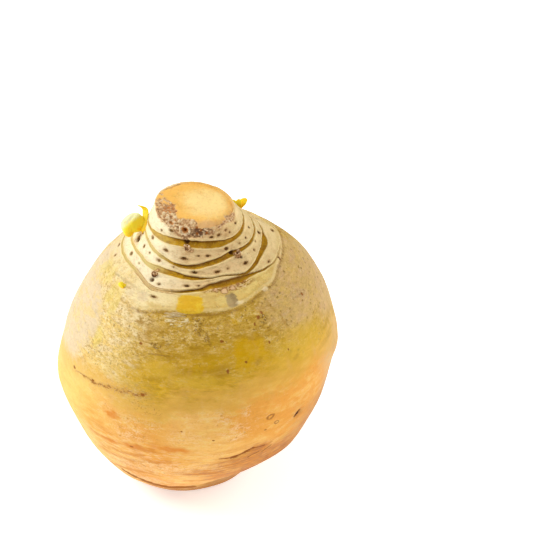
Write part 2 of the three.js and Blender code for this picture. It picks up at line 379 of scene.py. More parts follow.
def neckRelief(radius, angle, height, slope, ring):
    # how far the ringed neck stands out in mm, and the marks that its shader reads
    look = rootLook
    edges, (lip, lipStrength) = ring["edges"], ring["lip"]
    turned = math.radians(angle)
    wobble = 0.16 * noise.noise(Vector((math.cos(turned) * 9, math.sin(turned) * 9, height * 0.7)))
    distance, inGroove, scar, across = grooveState(edges, height + wobble, slope)
    onWall = smooth(radius, 12, 15)
    ringed = smooth(height, lip - 0.5, lip + 2.0) * onWall
    shallow = 0.3 + 0.7 * smooth(abs(turnBetween(look["shallowAngle"], angle)), 28, 66)
    relief = -look["grooveDepth"] * shallow * grooveDepth(inGroove)
    relief += look["scarRim"] * (0.4 + 0.6 * shallow) * math.exp(-((distance - 0.4) / 0.32) ** 2)
    relief -= look["scarHollow"] * math.sin(math.pi * across) * (scar < len(edges))
    coarse = noise.noise(Vector((angle * 0.11, height * 0.8, 3.0)))
    relief += 0.16 * coarse + 0.08 * noise.noise(Vector((angle * 0.4, height * 1.9, 7.0)))
    relief *= ringed
    lipAway = (height - lip) * slope
    terrace = smooth(lipAway, -0.8, 0.4) * (1 - 0.8 * smooth(lipAway, 0.8, 4.5))
    relief += look["lipHeight"] * lipStrength * terrace * onWall
    dots = nearestDot(radius, angle, height, slope)
    relief -= (0.15 + 0.25 * shallow) * (1 - smooth(dots, -0.3, 0.15)) * onWall
    relief += 0.12 * math.exp(-((dots - 0.3) / 0.2) ** 2) * onWall
    lumps = nearestSpot(lumpSpots, radius, angle, height, slope)
    hollows = nearestSpot(hollowSpots, radius, angle, height, slope)
    sunk = look["hollowSink"] * (1 - smooth(hollows, -0.8, 0.2))
    relief += look["lumpRise"] * (1 - smooth(lumps, -0.7, 0.3)) - sunk
    return relief, {
        "groove": distance, "inGroove": inGroove, "dot": dots, "outer": ringed,
        "scar": ringed * (1 - smooth(scar, 3.2, 4.0)), "lip": clamp(lipAway, -6, 6),
        "lump": lumps, "hollow": hollows,
    }


def decayAmount(radius, angle, height, reach):
    # 1 inside the decayed rim, 0 on sound flesh and skin
    inner, low = reach
    turned = math.radians(angle)
    ragged = 1.1 * fractal(radius * math.cos(turned), radius * math.sin(turned), height, 0.45)
    onTop = smooth(radius + ragged, inner - 0.5, inner + 0.5)
    onWall = smooth(height + 0.8 * ragged, low - 0.4, low + 0.4)
    return onTop * onWall


# The marks each vertex carries for the shader, as they are on plain skin.
plainMarks = {
    "groove": farOff, "inGroove": 0.0, "dot": farOff, "outer": 0.0, "scar": 0.0, "lip": -6.0, "lump": farOff,
    "hollow": farOff, "decay": 0.0, "cut": 0.0, "crumb": 0.0, "pit": farOff, "border": 0.0,
}


def rootVertex(radius, angle, height, normal, ring):
    look = rootLook
    spread = smooth(radius, 9, 15) if height > 60 else smooth(radius, 12, 18)
    onWall = smooth(height, 0, 5)
    grown = radius + swellingPush(angle, height) * onWall * spread
    cosine, sine = math.cos(math.radians(angle)), math.sin(math.radians(angle))
    x, y = grown * cosine, grown * sine
    slope = 1 / max(0.45, abs(normal.x))

    lumps = look["lumps"] * fractal(x, y, height, 0.035, 2) * onWall
    skinNoise = fractal(x, y, height * 3.2, 0.16, 3)
    relief = lumps * (1 - 0.7 * smooth(height, 104, 112)) + look["wrinkles"] * skinNoise * onWall
    marks = dict(plainMarks)
    if height < look["neckFoot"] and y < 0:
        turn = math.degrees(math.atan2(x + levelValue(axisLean, height) - look["axisMiddle"], -y))
        relief -= nearestCrease(turn, height)
    if height > look["neckFoot"]:
        more, neckMarks = neckRelief(radius, angle, height, slope, ring)
        relief += more
        marks.update(neckMarks)
    if height > look["rimFoot"]:
        decay = decayAmount(radius, angle, height, ring["decay"])
        crumbs = 1.6 * abs(fractal(x, y, height, 0.62, 2)) + 0.7 * fractal(x + 5, y, height, 1.1, 3)
        sunk, pit, border = rimPit(x, y, height)
        relief += decay * (0.6 * crumbs - 0.6) + smooth(decay, 0.0, 0.3) * (0.4 * border - sunk)
        onCut = 1 - smooth(radius, 15.4, 16.2)
        relief += onCut * (1 - decay) * (0.22 * fractal(x, y, 0, 0.22, 3) + 0.04 * fractal(x, y, 0, 1.2, 2))
        marks["decay"] = decay
        marks["crumb"] = crumbs
        marks["pit"] = pit
        marks["border"] = border
        marks["cut"] = 1 - smooth(radius, 15.6, 16.2)

    tilt = smooth(height, cutTilt["fadeFrom"], cutTilt["fadeTo"])
    x += relief * normal.x * cosine
    y += relief * normal.x * sine
    lifted = height + relief * normal.y + tilt * (cutTilt["alongX"] * x + cutTilt["alongY"] * y)
    if height <= 0:
        lifted = 0.0
    return Vector((x + levelValue(axisLean, height), y, lifted)) * mm, marks


def spinProfile(points, columns):
    # a closed skin turned from the profile; each vertex keeps the number of its row
    bm = bmesh.new()
    rowLayer = bm.verts.layers.float.new("row")
    line = []
    for i, point in enumerate(points):
        vertex = bm.verts.new((point.x, 0, point.y))
        vertex[rowLayer] = i
        line.append(vertex)
    edges = [bm.edges.new(pair) for pair in zip(line, line[1:])]
    bmesh.ops.spin(
        bm, geom=line + edges, cent=(0, 0, 0), axis=(0, 0, 1), angle=2 * math.pi, steps=columns,
        use_merge=True,
    )
    bmesh.ops.remove_doubles(bm, verts=bm.verts, dist=1e-5)
    bmesh.ops.recalc_face_normals(bm, faces=bm.faces)
    return bm, rowLayer


roundChart = {"left": 0.002, "width": 0.98, "foot": 0.005, "height": 0.99}


def layRoundUv(bm, rowLayer, rows):
    # one chart: round the axis across, from the rest spot to the cut upwards
    layer = bm.loops.layers.uv.new("OFBake")
    for face in bm.faces:
        turns = [math.atan2(loop.vert.co.y, loop.vert.co.x) / (2 * math.pi) % 1 for loop in face.loops]
        poles = [loop.vert.co.to_2d().length < 1e-6 for loop in face.loops]
        real = [turn for turn, pole in zip(turns, poles) if not pole]
        wraps = max(real) - min(real) > 0.5
        for loop, turn, pole in zip(face.loops, turns, poles):
            across = sum(real) / len(real) if pole else turn
            if wraps and across < 0.5:
                across += 1
            up = rows[round(loop.vert[rowLayer])]
            chart = roundChart
            loop[layer].uv = (across * chart["width"] + chart["left"], chart["foot"] + chart["height"] * up)


def rowLengths(points):
    # share of the profile's length reached at each row
    total = [0.0]
    for start, end in zip(points, points[1:]):
        total.append(total[-1] + (end - start).length)
    return [value / total[-1] for value in total]


def finishMesh(bm, name, material):
    # the bmesh as a smooth object in the scene
    bmesh.ops.recalc_face_normals(bm, faces=bm.faces)
    mesh = bpy.data.meshes.new(name)
    bm.to_mesh(mesh)
    bm.free()
    mesh.shade_smooth()
    piece = bpy.data.objects.new(name, mesh)
    bpy.context.scene.collection.objects.link(piece)
    mesh.materials.append(material)
    return piece


def buildRoot(material):
    # every vertex of the spun profile is moved to its place and given its marks
    points = rootProfile()
    normals = profileNormals(points)
    columns = rootLook["columns"]
    bm, rowLayer = spinProfile(points, columns)
    layRoundUv(bm, rowLayer, rowLengths(points))
    rings = {}
    markLayers = {}
    for name in plainMarks:
        markLayers[name] = bm.verts.layers.float.new(name)
    for vertex in bm.verts:
        row = round(vertex[rowLayer])
        point = points[row]
        angle = math.degrees(math.atan2(vertex.co.y, vertex.co.x))
        column = round(angle * columns / 360)
        if column not in rings:
            rings[column] = {
                "edges": [ringValues(groove, angle) for groove in grooves],
                "lip": ringValues(scarLip, angle),
                "decay": ringValues(decayedRim, angle),
            }
        vertex.co, marks = rootVertex(point.x, angle, point.y, normals[row], rings[column])
        for name, layer in markLayers.items():
            vertex[layer] = marks[name]
    print("root faces", len(bm.faces))
    return finishMesh(bm, "rootSkin", material)


class Shade:
    # wraps a node's socket so that shader maths reads as a formula
    def __init__(self, graph, socket):
        self.graph = graph
        self.socket = socket

    def maths(self, operation, *others):
        return self.graph.maths(operation, self, *others)

    def __add__(self, other):
        return self.maths("ADD", other)

    def __radd__(self, other):
        return self.maths("ADD", other)

    def __sub__(self, other):
        return self.maths("SUBTRACT", other)

    def __rsub__(self, other):
        return self.graph.maths("SUBTRACT", other, self)

    def __mul__(self, other):
        return self.maths("MULTIPLY", other)

    def __rmul__(self, other):
        return self.maths("MULTIPLY", other)

    def __neg__(self):
        return self.maths("MULTIPLY", -1.0)

    def swing(self, amount):
        # a noise made to swing evenly to both sides of nothing
        return (self - 0.5) * amount


class Graph:
    # one material's node tree and short ways to add to it
    def __init__(self, name):
        self.material = bpy.data.materials.new(name)
        self.material.use_nodes = True
        self.nodes = self.material.node_tree.nodes
        self.links = self.material.node_tree.links
        self.nodes.clear()
        self.output = self.nodes.new("ShaderNodeOutputMaterial")

    def feed(self, socket, value):
        if isinstance(value, Shade):
            self.links.new(value.socket, socket)
        elif value is not None:
            socket.default_value = value

    def make(self, nodeType, settings=None, inputs=None, output=0):
        node = self.nodes.new(nodeType)
        for key, value in (settings or {}).items():
            setattr(node, key, value)
        for key, value in (inputs or {}).items():
            self.feed(node.inputs[key], value)
        return Shade(self, node.outputs[output])

    def maths(self, operation, *values):
        return self.make("ShaderNodeMath", {"operation": operation}, dict(enumerate(values)))

    def vector(self, operation, *values, output="Vector", scale=None):
        inputs = dict(enumerate(values))
        if scale is not None:
            inputs["Scale"] = scale
        return self.make("ShaderNodeVectorMath", {"operation": operation}, inputs, output)

    def attribute(self, name):
        return self.make("ShaderNodeAttribute", {"attribute_name": name}, {}, "Fac")

    def place(self):
        return self.make("ShaderNodeTexCoord", {}, {}, "Object")

    def step(self, value, low, high, start=0.0, end=1.0):
        inputs = {"Value": value, "From Min": low, "From Max": high, "To Min": start, "To Max": end}
        return self.make("ShaderNodeMapRange", {"interpolation_type": "SMOOTHSTEP"}, inputs, "Result")

    def noise(self, place, scale, detail=4.0, roughness=0.55, twist=0.0):
        inputs = {"Vector": place, "Scale": scale, "Detail": detail, "Roughness": roughness}
        inputs["Distortion"] = twist
        return self.make("ShaderNodeTexNoise", {"noise_dimensions": "3D"}, inputs, "Fac")

    def noiseColour(self, place, scale):
        inputs = {"Vector": place, "Scale": scale, "Detail": 2.0}
        return self.make("ShaderNodeTexNoise", {"noise_dimensions": "3D"}, inputs, "Color")

    def cells(self, place, scale):
        return self.make("ShaderNodeTexVoronoi", {}, {"Vector": place, "Scale": scale}, "Distance")

    def mix(self, factor, first, second):
        # of the node's several sets of sockets, those that blend colours
        node = self.nodes.new("ShaderNodeMix")
        node.data_type = "RGBA"
        self.feed(node.inputs[0], factor)
        self.feed(node.inputs[6], first)
        self.feed(node.inputs[7], second)
        return Shade(self, node.outputs[2])

    def bump(self, height, strength, distance):
        inputs = {"Height": height, "Strength": strength, "Distance": distance}
        return self.make("ShaderNodeBump", {}, inputs, "Normal")

    def surface(self, colour, roughness, normal=None, fixed=None):
        inputs = {"Base Color": colour, "Roughness": roughness, "Normal": normal}
        inputs.update(fixed or {})
        shader = self.make("ShaderNodeBsdfPrincipled", {}, inputs, "BSDF")
        self.links.new(shader.socket, self.output.inputs["Surface"])
        return self.material


def tint(red, green, blue):
    # screen colour, 0 to 255, as linear light
    def linear(value):
        value = value / 255
        return value / 12.92 if value <= 0.04045 else ((value + 0.055) / 1.055) ** 2.4

    return (linear(red), linear(green), linear(blue), 1.0)


skinLook = {
    "flushHeight": 74,  # where yellow-green turns to orange
    "flushFade": (-8.0, 10.0),
    "corkRise": (80.0, 106.0),  # heights between which the cork closes over the rind
    "corkFoot": (72.0, 92.0),
    "roughRise": (82.0, 104.0),  # heights between which it grows cracked and beaded
    "poreRise": (80.0, 98.0),
    "leftFade": (-10.0, -40.0),  # turns from the front over which the cork turns pale
    "rightFade": (6.0, 30.0),  # turns over which it turns smoother
    "strawFade": (-34.0, -60.0),
    "cornerFade": (36.0, 58.0),  # turns over which the right foot turns tan
    "edgeFade": (56.0, 74.0),
    "wrinkleFade": (66.0, 84.0),
    "footFade": (16.0, 2.0),  # heights over which the brown foot fades in
    "footLift": 25,  # how much higher it reaches at the right
    "footStrength": (0.65, 0.4),  # at the front and at the sides
    "looseSway": (5.0, 3.4),  # how far soft patches wander round and up
    "stillSway": (1.8, 1.2),  # the same for single marks
    "olive": tint(186, 144, 24),
    "yellow": tint(216, 170, 44),
    "thread": tint(164, 122, 34),
    "corkDull": tint(182, 142, 48),
    "corkTan": tint(212, 174, 84),
    "cork": tint(226, 196, 136),
    "corkPale": tint(246, 226, 178),
    "corkLine": tint(126, 88, 36),
    "blush": tint(216, 192, 156),
    "blushPale": tint(226, 205, 168),
    "buff": tint(204, 170, 108),
    "buffPink": tint(206, 168, 122),
    "buffEdge": tint(206, 172, 128),
    "pore": tint(150, 116, 50),
    "gold": tint(206, 158, 0),
    "goldSoft": tint(218, 176, 58),
    "lime": tint(226, 202, 92),
    "ochre": tint(220, 170, 74),
    "orange": tint(230, 160, 66),
    "orangeDeep": tint(206, 128, 44),
    "peach": tint(238, 184, 98),
    "straw": tint(238, 204, 112),
    "scuff": tint(246, 218, 172),
    "brown": tint(142, 78, 22),
    "holeBrown": tint(58, 10, 0),
    "fadedBrown": tint(178, 116, 66),
    "rosy": tint(172, 102, 60),
    "tan": tint(190, 132, 74),
    "stain": tint(216, 124, 26),
    "footBrownAndShadow": tint(150, 82, 14),
    "grey": tint(150, 130, 96),
}

# Marks on the skin as turn from the front, height, half width and half height.
skinSpots = {
    "deep": [(8, 92.4, 13, 4.4), (27, 88.5, 10, 5)],
    "gold": [(27, 94.2, 7.2, 5.0), (23, 90.6, 3.4, 2.4)],
    "goldSoft": [(52, 88, 17, 7), (2, 84.5, 10, 3), (-14, 88, 7, 3)],
    "goldDot": [(23, 103.7, 1.5, 0.9)],
    "lime": [
        (-69, 107.5, 4, 3.6), (-80, 106.5, 7, 4), (-57, 105, 4, 5), (-50, 103.5, 3, 5), (-51, 89.6, 2.4, 4),
    ],
    "olive": [
        (-31, 105.5, 1.6, 0.9), (-28, 102.1, 1.8, 1.2), (-22, 98.6, 2.6, 1.6), (-16, 101.0, 4.0, 1.2),
        (-12, 97.1, 3.6, 1.2), (48, 84.8, 2.2, 0.9), (28, 98.4, 1.8, 0.6), (30, 89.4, 2.0, 1.2),
        (12, 88, 6, 2.4), (4, 95, 5, 1.6), (-8, 93, 5, 1.4),
    ],
    "dots": [
        (-61, 71.2, 1.0, 0.7), (-46, 73.9, 0.9, 0.6), (-20.5, 77.0, 1.1, 0.7), (16, 87.9, 0.6, 0.8),
        (24, 90.2, 0.7, 0.5), (15, 98.6, 0.9, 0.5), (-25, 95.4, 0.9, 0.6), (37, 94.2, 0.6, 0.6),
        (36, 103.2, 1.0, 0.7), (33, 101.7, 0.7, 0.6), (39, 104.0, 0.7, 0.5), (30, 57.0, 0.6, 0.4),
        (-26, 49.6, 0.9, 0.5), (68, 101.0, 0.8, 0.6), (8, 58.0, 0.5, 0.4), (-4, 63.0, 0.5, 0.4),
        (45, 88.5, 0.5, 0.6),
    ],
    "scatter": [(-21, 73.0, 6.0, 2.6), (-16, 70.4, 4.0, 2.0), (-28, 76.0, 5.0, 1.4)],
    "rings": [(32, 63.4, 1.35, 1.1), (35.2, 58.6, 0.95, 0.75)],
    "crusted": [
        (4.6, 105.0, 3.0, 1.3), (3.4, 102.9, 1.6, 1.8), (5.6, 101.0, 2.2, 1.4), (7.6, 99.4, 1.6, 1.0),
        (38, 102.2, 2.4, 1.4), (-17, 96.0, 3.0, 1.0),
    ],
    "scuffed": [
        (-23, 64.5, 10, 3.6), (-27, 58, 9, 5), (12, 69, 4, 5), (18, 61, 7, 5), (22, 69, 3, 4),
        (-15, 37, 20, 5.5), (8, 38, 10, 4), (-38, 33, 8, 4), (-28, 22, 14, 4),
    ],
    "stain": [(-8, 52.4, 7, 1.7), (-24.5, 50.0, 5, 1.4), (-37, 47.6, 4, 1.2), (-34, 63.8, 3.8, 1.7)],
    "worn": [
        (24, 39.5, 17, 6.5), (42, 36, 15, 9), (60, 41, 10, 8), (70, 50, 7, 9), (4, 35, 12, 3.4),
        (28, 46, 7, 3.6), (20, 29, 18, 7),
    ],
    "rightShoulder": [(66, 103, 25, 11), (90, 100, 24, 15)],
    "reddened": [(47.4, 56.6, 3.2, 2.4)],
}
# Lines on the skin as turn and height of both ends and their width.
skinLines = {
    "crease": [
        (-60, 70.6, -52, 72.4, 0.3), (-52, 72.4, -45, 73.6, 0.5), (-45, 73.6, -33, 75.6, 0.5),
        (-33, 75.6, -27, 76.2, 0.7), (-27, 76.2, -19, 77.2, 0.5),
    ],
    "foot": [(-42, 21.0, -32, 16.6, 1.6), (-32, 16.6, -17, 11.5, 2.6), (-17, 11.5, -3, 8.8, 1.8)],
    "slit": [
        (11, 45.2, 16, 43.9, 0.3), (16, 43.9, 21, 45.0, 0.65), (21, 45.0, 26, 46.8, 0.7),
        (26, 46.8, 31, 46.2, 0.35), (24, 41.5, 29, 43.0, 0.35), (31, 42.0, 35, 44.0, 0.4),
    ],
    "band": [
        (-51, 45.8, -37, 48.2, 1.1), (-37, 48.2, -27, 49.3, 1.1), (-27, 49.3, -17, 49.6, 1.3),
        (-48, 35.5, -34, 37.4, 0.9), (-34, 37.4, -19, 40.9, 0.9), (-19, 40.9, -10, 44.0, 0.9),
        (-53, 20.5, -34, 28.2, 0.8), (-34, 28.2, -20, 32.6, 0.8), (-40, 41.0, -22, 44.5, 0.7),
        (-30, 17.5, -8, 21.0, 0.9), (-6, 26.0, 16, 25.0, 0.9),
    ],
    # One torn line, from turn -14 to -3 near height 106, is painted shadow between the pale bars.
    "torn": [
        (-68, 109.2, -55, 110.1, 0.35), (-55, 110.1, -43, 110.4, 0.4), (-43, 110.4, -33, 110.0, 0.35),
        (8, 101.0, 9.5, 97.8, 0.6), (-14, 105.6, -3, 106.2, 0.3), (-20, 92.6, -10, 93.4, 0.3),
    ],
    "vein": [(46, 105.0, 49, 97.6, 1.1), (35, 100.6, 42, 96.6, 0.8), (22, 99.4, 34, 97.6, 0.7)],
    # The bars are painted highlights on ridges of the cork.
    "highlightBars": [(-15, 106.0, -4, 106.6, 0.8), (-14, 104.6, -2, 105.1, 0.6), (-11, 103.4, -5, 103.6, 0.4)],
    "hole": [(45.9, 55.7, 48.4, 57.2, 0.9)],
}

neckLook = {
    # The scar faces run from scarLeft to scarRight; the paler left is partly painted light from the left.
    "scarLeft": tint(249, 233, 192),
    "scarRight": tint(224, 192, 138),
    "scarGrey": tint(190, 156, 104),
    "scarStain": tint(172, 124, 66),
    "rim": tint(244, 220, 156),
    "patch": tint(222, 170, 14),
    "patchPale": tint(234, 192, 44),
    "grey": tint(168, 144, 104),
    "greyDark": tint(132, 112, 82),
    "outerLeft": tint(246, 226, 172),
    "outerScar": tint(233, 205, 126),
    "outerShade": tint(214, 178, 98),
    "groove": tint(198, 150, 24),
    "grooveLeft": tint(212, 190, 112),
    "grooveBrown": tint(150, 102, 22),
    "grooveShadow": tint(112, 70, 14),
    "edge": tint(126, 84, 34),
    "torn": tint(146, 92, 36),
    "dot": tint(80, 52, 24),
    "dotPale": tint(150, 122, 72),
    "lump": tint(228, 188, 138),
    "hollow": tint(84, 46, 16),
    "crumb": tint(224, 192, 144),
    "crumbTan": tint(198, 154, 106),
    "crumbDark": tint(162, 118, 80),
    "crumbBlack": tint(98, 64, 42),
    "crumbPale": tint(246, 226, 186),
    "rust": tint(208, 130, 56),
    "rustDark": tint(136, 70, 16),
    "flesh": tint(248, 214, 138),
    "fleshDeep": tint(242, 186, 92),
    "fleshRim": tint(214, 166, 104),
    "fleshTan": tint(222, 176, 120),
    "fleshEdge": tint(150, 102, 34),
}


# Marks on the terrace below the leaf scars, laid out like the spots on the skin.
terraceSpots = {
    "white": [(-33, 109.0, 4.5, 1.3), (-44, 108.6, 4, 1.6)],
    "dull": [(-22, 107.9, 7, 0.8), (12, 110.6, 3.5, 1.6), (32, 109.9, 4, 1.0)],
    "gold": [(-0.6, 109.5, 8.0, 2.5)],
    "grey": [(25.4, 109.8, 3.5, 1.8)],
    # The crescents are painted highlights on the terrace.
    "highlightCrescent": [(29.6, 108.8, 2.4, 0.4), (49, 109.3, 2.2, 0.6)],
}
# Places on the cut face and its rim: middle in mm and how much each axis counts.
cutPlaces = {
    "rusty": ((-5.2, -3.6, 134.0), (1.0, 0.7, 0.6)),
    "black": ((8.4, -16.8, 130.6), (0.5, 1.0, 1.0)),
    "pale": ((9.5, 1.0, 26.6), (1.0, 1.0, 1.0)),
    "tan": ((11.5, -13.6, 131.8), (0.6, 1.0, 0.8)),
    "brown": ((15.8, -13.0, 130.2), (0.7, 0.8, 1.0)),
}


def around(graph, place):
    # degrees round the growing axis from the front, positive to the right, and height in mm
    parts = graph.nodes.new("ShaderNodeSeparateXYZ")
    graph.links.new(place.socket, parts.inputs[0])
    x, y, z = (Shade(graph, output) for output in parts.outputs)
    turn = graph.maths("ARCTAN2", x - rootLook["axisMiddle"] * mm, -y) * (180 / math.pi)
    return turn, z * 1000


def foldedTurn(graph, turn):
    # the turn counted back again behind both sides, so that the two halves meet at the back without a seam
    behind = graph.maths("ABSOLUTE", graph.maths("ABSOLUTE", turn) - 90)
    return graph.maths("SIGN", turn) * (90 - behind)


def nearSpots(graph, plane, spots, square=False):
    # distance from the middle of the nearest oval on the turn-and-height plane, 1 at its edge
    nearest = 9.0
    for where, level, wide, tall in spots:
        scale, shift = (1 / wide, 1 / tall, 0), (-where / wide, -level / tall, 0)
        offset = graph.vector("MULTIPLY_ADD", plane, scale, shift)
        if square:
            offset = graph.vector("MULTIPLY", offset, offset)
        nearest = graph.maths("MINIMUM", graph.vector("LENGTH", offset, output="Value"), nearest)
    return nearest


def nearLines(graph, plane, lines):
    # distance from the nearest line as a share of its width; a degree is about a millimetre
    nearest = 9.0
    for startTurn, startHeight, endTurn, endHeight, width in lines:
        way = Vector((endTurn - startTurn, endHeight - startHeight, 0))
        offset = graph.vector("SUBTRACT", plane, (startTurn, startHeight, 0))
        along = graph.vector("DOT_PRODUCT", offset, way / way.length_squared, output="Value")
        along = graph.maths("MAXIMUM", graph.maths("MINIMUM", along, 1.0), 0.0)
        away = graph.vector("SUBTRACT", offset, graph.vector("SCALE", way, scale=along))
        nearest = graph.maths("MINIMUM", graph.vector("LENGTH", away, output="Value") * (1 / width), nearest)
    return nearest


# In both masks, ragged shakes the outline, and none and full are the distances at which the mask starts
# and is complete.
def spotMask(graph, plane, spots, ragged, none, full, square=False):
    return graph.step(nearSpots(graph, plane, spots, square) + ragged, none, full)


def lineMask(graph, plane, lines, ragged, none, full):
    return graph.step(nearLines(graph, plane, lines) + ragged, none, full)


def pick(noises, names):
    # several noises by name
    return [noises[name] for name in names.split()]


def noiseSet(graph, place):
    # the noises that every part of the skin shares
    rows = graph.vector("MULTIPLY", place, (1.0, 1.0, 2.4))
    streaks = graph.vector("MULTIPLY", place, (1.0, 1.0, 8.0))
    shaken = graph.vector("ADD", rows, graph.vector("SCALE", graph.noiseColour(rows, 500.0), scale=0.0008))
    noises = {
        "broad": graph.noise(place, 24.0, 2.0),
        "mottle": graph.noise(rows, 140.0, 3.0, 0.6, 0.4),
        "net": graph.noise(rows, 330.0, 2.0, 0.5, 0.5),
        "patchy": graph.noise(rows, 60.0, 4.0, 0.62),
        "fine": graph.noise(rows, 300.0, 4.0, 0.66),
        "crust": graph.noise(rows, 760.0, 3.0, 0.7),
        "grit": graph.noise(place, 1700.0, 2.0, 0.5),
        "streak": graph.noise(streaks, 60.0, 5.0, 0.6),
        "hair": graph.noise(streaks, 260.0, 4.0, 0.6),
        "bead": graph.cells(shaken, 1050.0),
        "pore": graph.cells(place, 400.0),
        "wrinkle": graph.noise(graph.vector("MULTIPLY", place, (1.0, 1.0, 0.22)), 420.0, 3.0, 0.6),
    }
    small = noises["crust"].swing(1.3) + noises["grit"].swing(0.9)
    noises["grain"] = (noises["mottle"] - 0.5) + noises["fine"].swing(1.1) + small
    return noises


def flecked(graph, noises, colour, pale, dark, amount):
    # paler and darker flecks at every small scale, as on any rough skin
    colour = graph.mix(graph.step(noises["grain"], 0.0, 0.55) * amount, colour, pale)
    return graph.mix(graph.step(noises["grain"], 0.0, -0.55) * amount, colour, dark)


def corkVeil(graph, noises, side):
    # the thin cork: dull at the front and right, pale on the left
    look = skinLook
    tone = noises["crust"] * 0.4 + noises["fine"] * 0.6
    dull = graph.mix(graph.step(tone, 0.42, 0.6), look["corkDull"], look["corkTan"])
    pale = graph.mix(graph.step(tone, 0.42, 0.58), look["cork"], look["corkPale"])
    cloudy = graph.step(noises["mottle"] + (noises["broad"] - 0.5), 0.5, 0.62)
    pale = graph.mix(cloudy * 0.6, pale, look["straw"])
    sideways = side + noises["mottle"].swing(36) + noises["patchy"].swing(24)
    leftSide = graph.step(sideways, *look["leftFade"])
    return graph.mix(leftSide, dull, pale), leftSide


def corkGrain(graph, noises, side, level, leftSide, colour):
    # cracks, pores and pale beads in the cork, and how deep they lie
    look = skinLook
    fine, grit, patchy, crust, mottle = pick(noises, "fine grit patchy crust mottle")
    rough = graph.step(level, *look["roughRise"])
    amount = (rough * 0.36 + leftSide * 0.15 + 0.14) * graph.step(side, *look["rightFade"], 1.0, 0.7)
    colour = flecked(graph, noises, colour, look["corkPale"], look["corkLine"], amount)
    crack = graph.step(graph.maths("ABSOLUTE", noises["net"] - 0.5), 0.05, 0.008)
    cracks = crack * rough * graph.step(mottle + patchy.swing(0.6), 0.4, 0.58)
    colour = graph.mix(cracks * 0.3, colour, look["corkLine"])
    pores = graph.step(noises["pore"] + grit.swing(0.3) + crust.swing(0.3), 0.22, 0.08)
    pores = pores * graph.step(level, *look["poreRise"]) * graph.step(fine + mottle.swing(0.6), 0.42, 0.56)
    colour = graph.mix(pores * 0.6, colour, look["corkLine"])
    beads = graph.step(noises["bead"] + crust.swing(0.5), 0.34, 0.1) * graph.step(mottle + fine, 0.9, 1.1)
    beads = beads * rough
    colour = graph.mix(beads * graph.step(side, *look["rightFade"], 0.4, 0.2), colour, look["corkPale"])
    return colour, cracks * 0.5 + pores - beads * 0.6


def upperSkin(graph, noises, side, height):
    # yellow-green rind under thin cork that is thicker and more cracked towards the neck
    look = skinLook
    fine, patchy, crust, mottle = pick(noises, "fine patchy crust mottle")
    cloud = mottle * 0.5 + noises["streak"] * 0.3 + patchy * 0.2
    colour = graph.mix(graph.step(cloud, 0.42, 0.58), look["olive"], look["yellow"])
    threads = graph.step(noises["streak"] + fine.swing(0.3), 0.52, 0.66)
    colour = graph.mix(threads * 0.35, colour, look["thread"])
    sideLift = graph.step(side, -18.0, -54.0) * 18 + graph.step(side, 36.0, 60.0) * 6
    level = height + sideLift + noises["broad"].swing(16) + patchy.swing(20)
    grains = graph.step(level, *look["corkRise"]) + mottle.swing(1.6) + fine.swing(0.9) + crust.swing(0.4)
    reach = graph.step(grains, 0.1, 0.9) * graph.step(level, *look["corkFoot"])
    cork, leftSide = corkVeil(graph, noises, side)
    colour = graph.mix(graph.maths("MAXIMUM", reach * 0.75, leftSide * 0.65), colour, cork)
    colour, specks = corkGrain(graph, noises, side, level, leftSide, colour)
    hairs = graph.step(noises["hair"], 0.57, 0.68)
    hairs = hairs * graph.step(height, 66.0, 78.0) * graph.step(height, 110.0, 98.0)
    return graph.mix(hairs * 0.3, colour, look["corkLine"]), reach, specks


def scuffedSkin(graph, noises, plane, colour):
    # pale, beaded and red-specked places where the orange rind was rubbed
    look = skinLook
    fine, grit, patchy = pick(noises, "fine grit patchy")
    scuffed = spotMask(graph, plane, skinSpots["scuffed"], patchy.swing(2.4), 1.3, 0.5)
    loose = graph.step(patchy + noises["broad"].swing(0.5), 0.54, 0.68) * 0.5
    scuffed = graph.maths("MAXIMUM", scuffed, loose)
    flecks = graph.step(fine * 0.6 + grit * 0.4 + noises["crust"].swing(0.4), 0.46, 0.62)
    colour = graph.mix(scuffed * flecks * 0.5, colour, look["scuff"])
    colour = graph.mix(scuffed * graph.step(noises["bead"], 0.3, 0.1) * 0.5, colour, look["blushPale"])
    red = graph.step(noises["pore"] + grit.swing(0.4), 0.26, 0.1) * scuffed
    return graph.mix(red * 0.5, colour, look["fadedBrown"])


def brownFoot(graph, noises, side, height):
    # the browned lower end, higher at the right and fainter at both sides; along the bottom edge it is also
    # painted contact shadow
    look = skinLook
    lift = graph.step(side, 0.0, 38.0) * graph.step(side, 88.0, 42.0) * look["footLift"]
    level = height + noises["fine"].swing(6) + noises["patchy"].swing(20) - lift
    return graph.step(level, *look["footFade"]) * graph.step(side, 30.0, 80.0, *look["footStrength"])


def orangeRind(graph, noises, side, height):
    # plain orange rind with straw-coloured clouds and fine lines that run round it
    look = skinLook
    streak, fine, patchy, hair = pick(noises, "streak fine patchy hair")
    colour = graph.mix(graph.step(noises["broad"], 0.4, 0.62), look["orange"], look["peach"])
    colour = graph.mix(graph.step(noises["mottle"], 0.48, 0.64) * 0.35, colour, look["straw"])
    paleSide = graph.step(side + patchy.swing(30), *look["strawFade"]) * graph.step(height, 12.0, 36.0)
    colour = graph.mix(paleSide * 0.8, colour, look["straw"])
    low = graph.step(height, 60.0, 44.0)
    colour = graph.mix(graph.step(streak, 0.5, 0.68) * (low * 0.35 + 0.2), colour, look["orangeDeep"])
    colour = graph.mix(graph.step(hair, 0.56, 0.7) * (low * 0.25 + 0.15), colour, look["orangeDeep"])
    paleLines = graph.step(hair + fine.swing(0.3), 0.5, 0.36) * low * graph.step(side, 20.0, -16.0)
    return graph.mix(paleLines * 0.55, colour, look["scuff"])


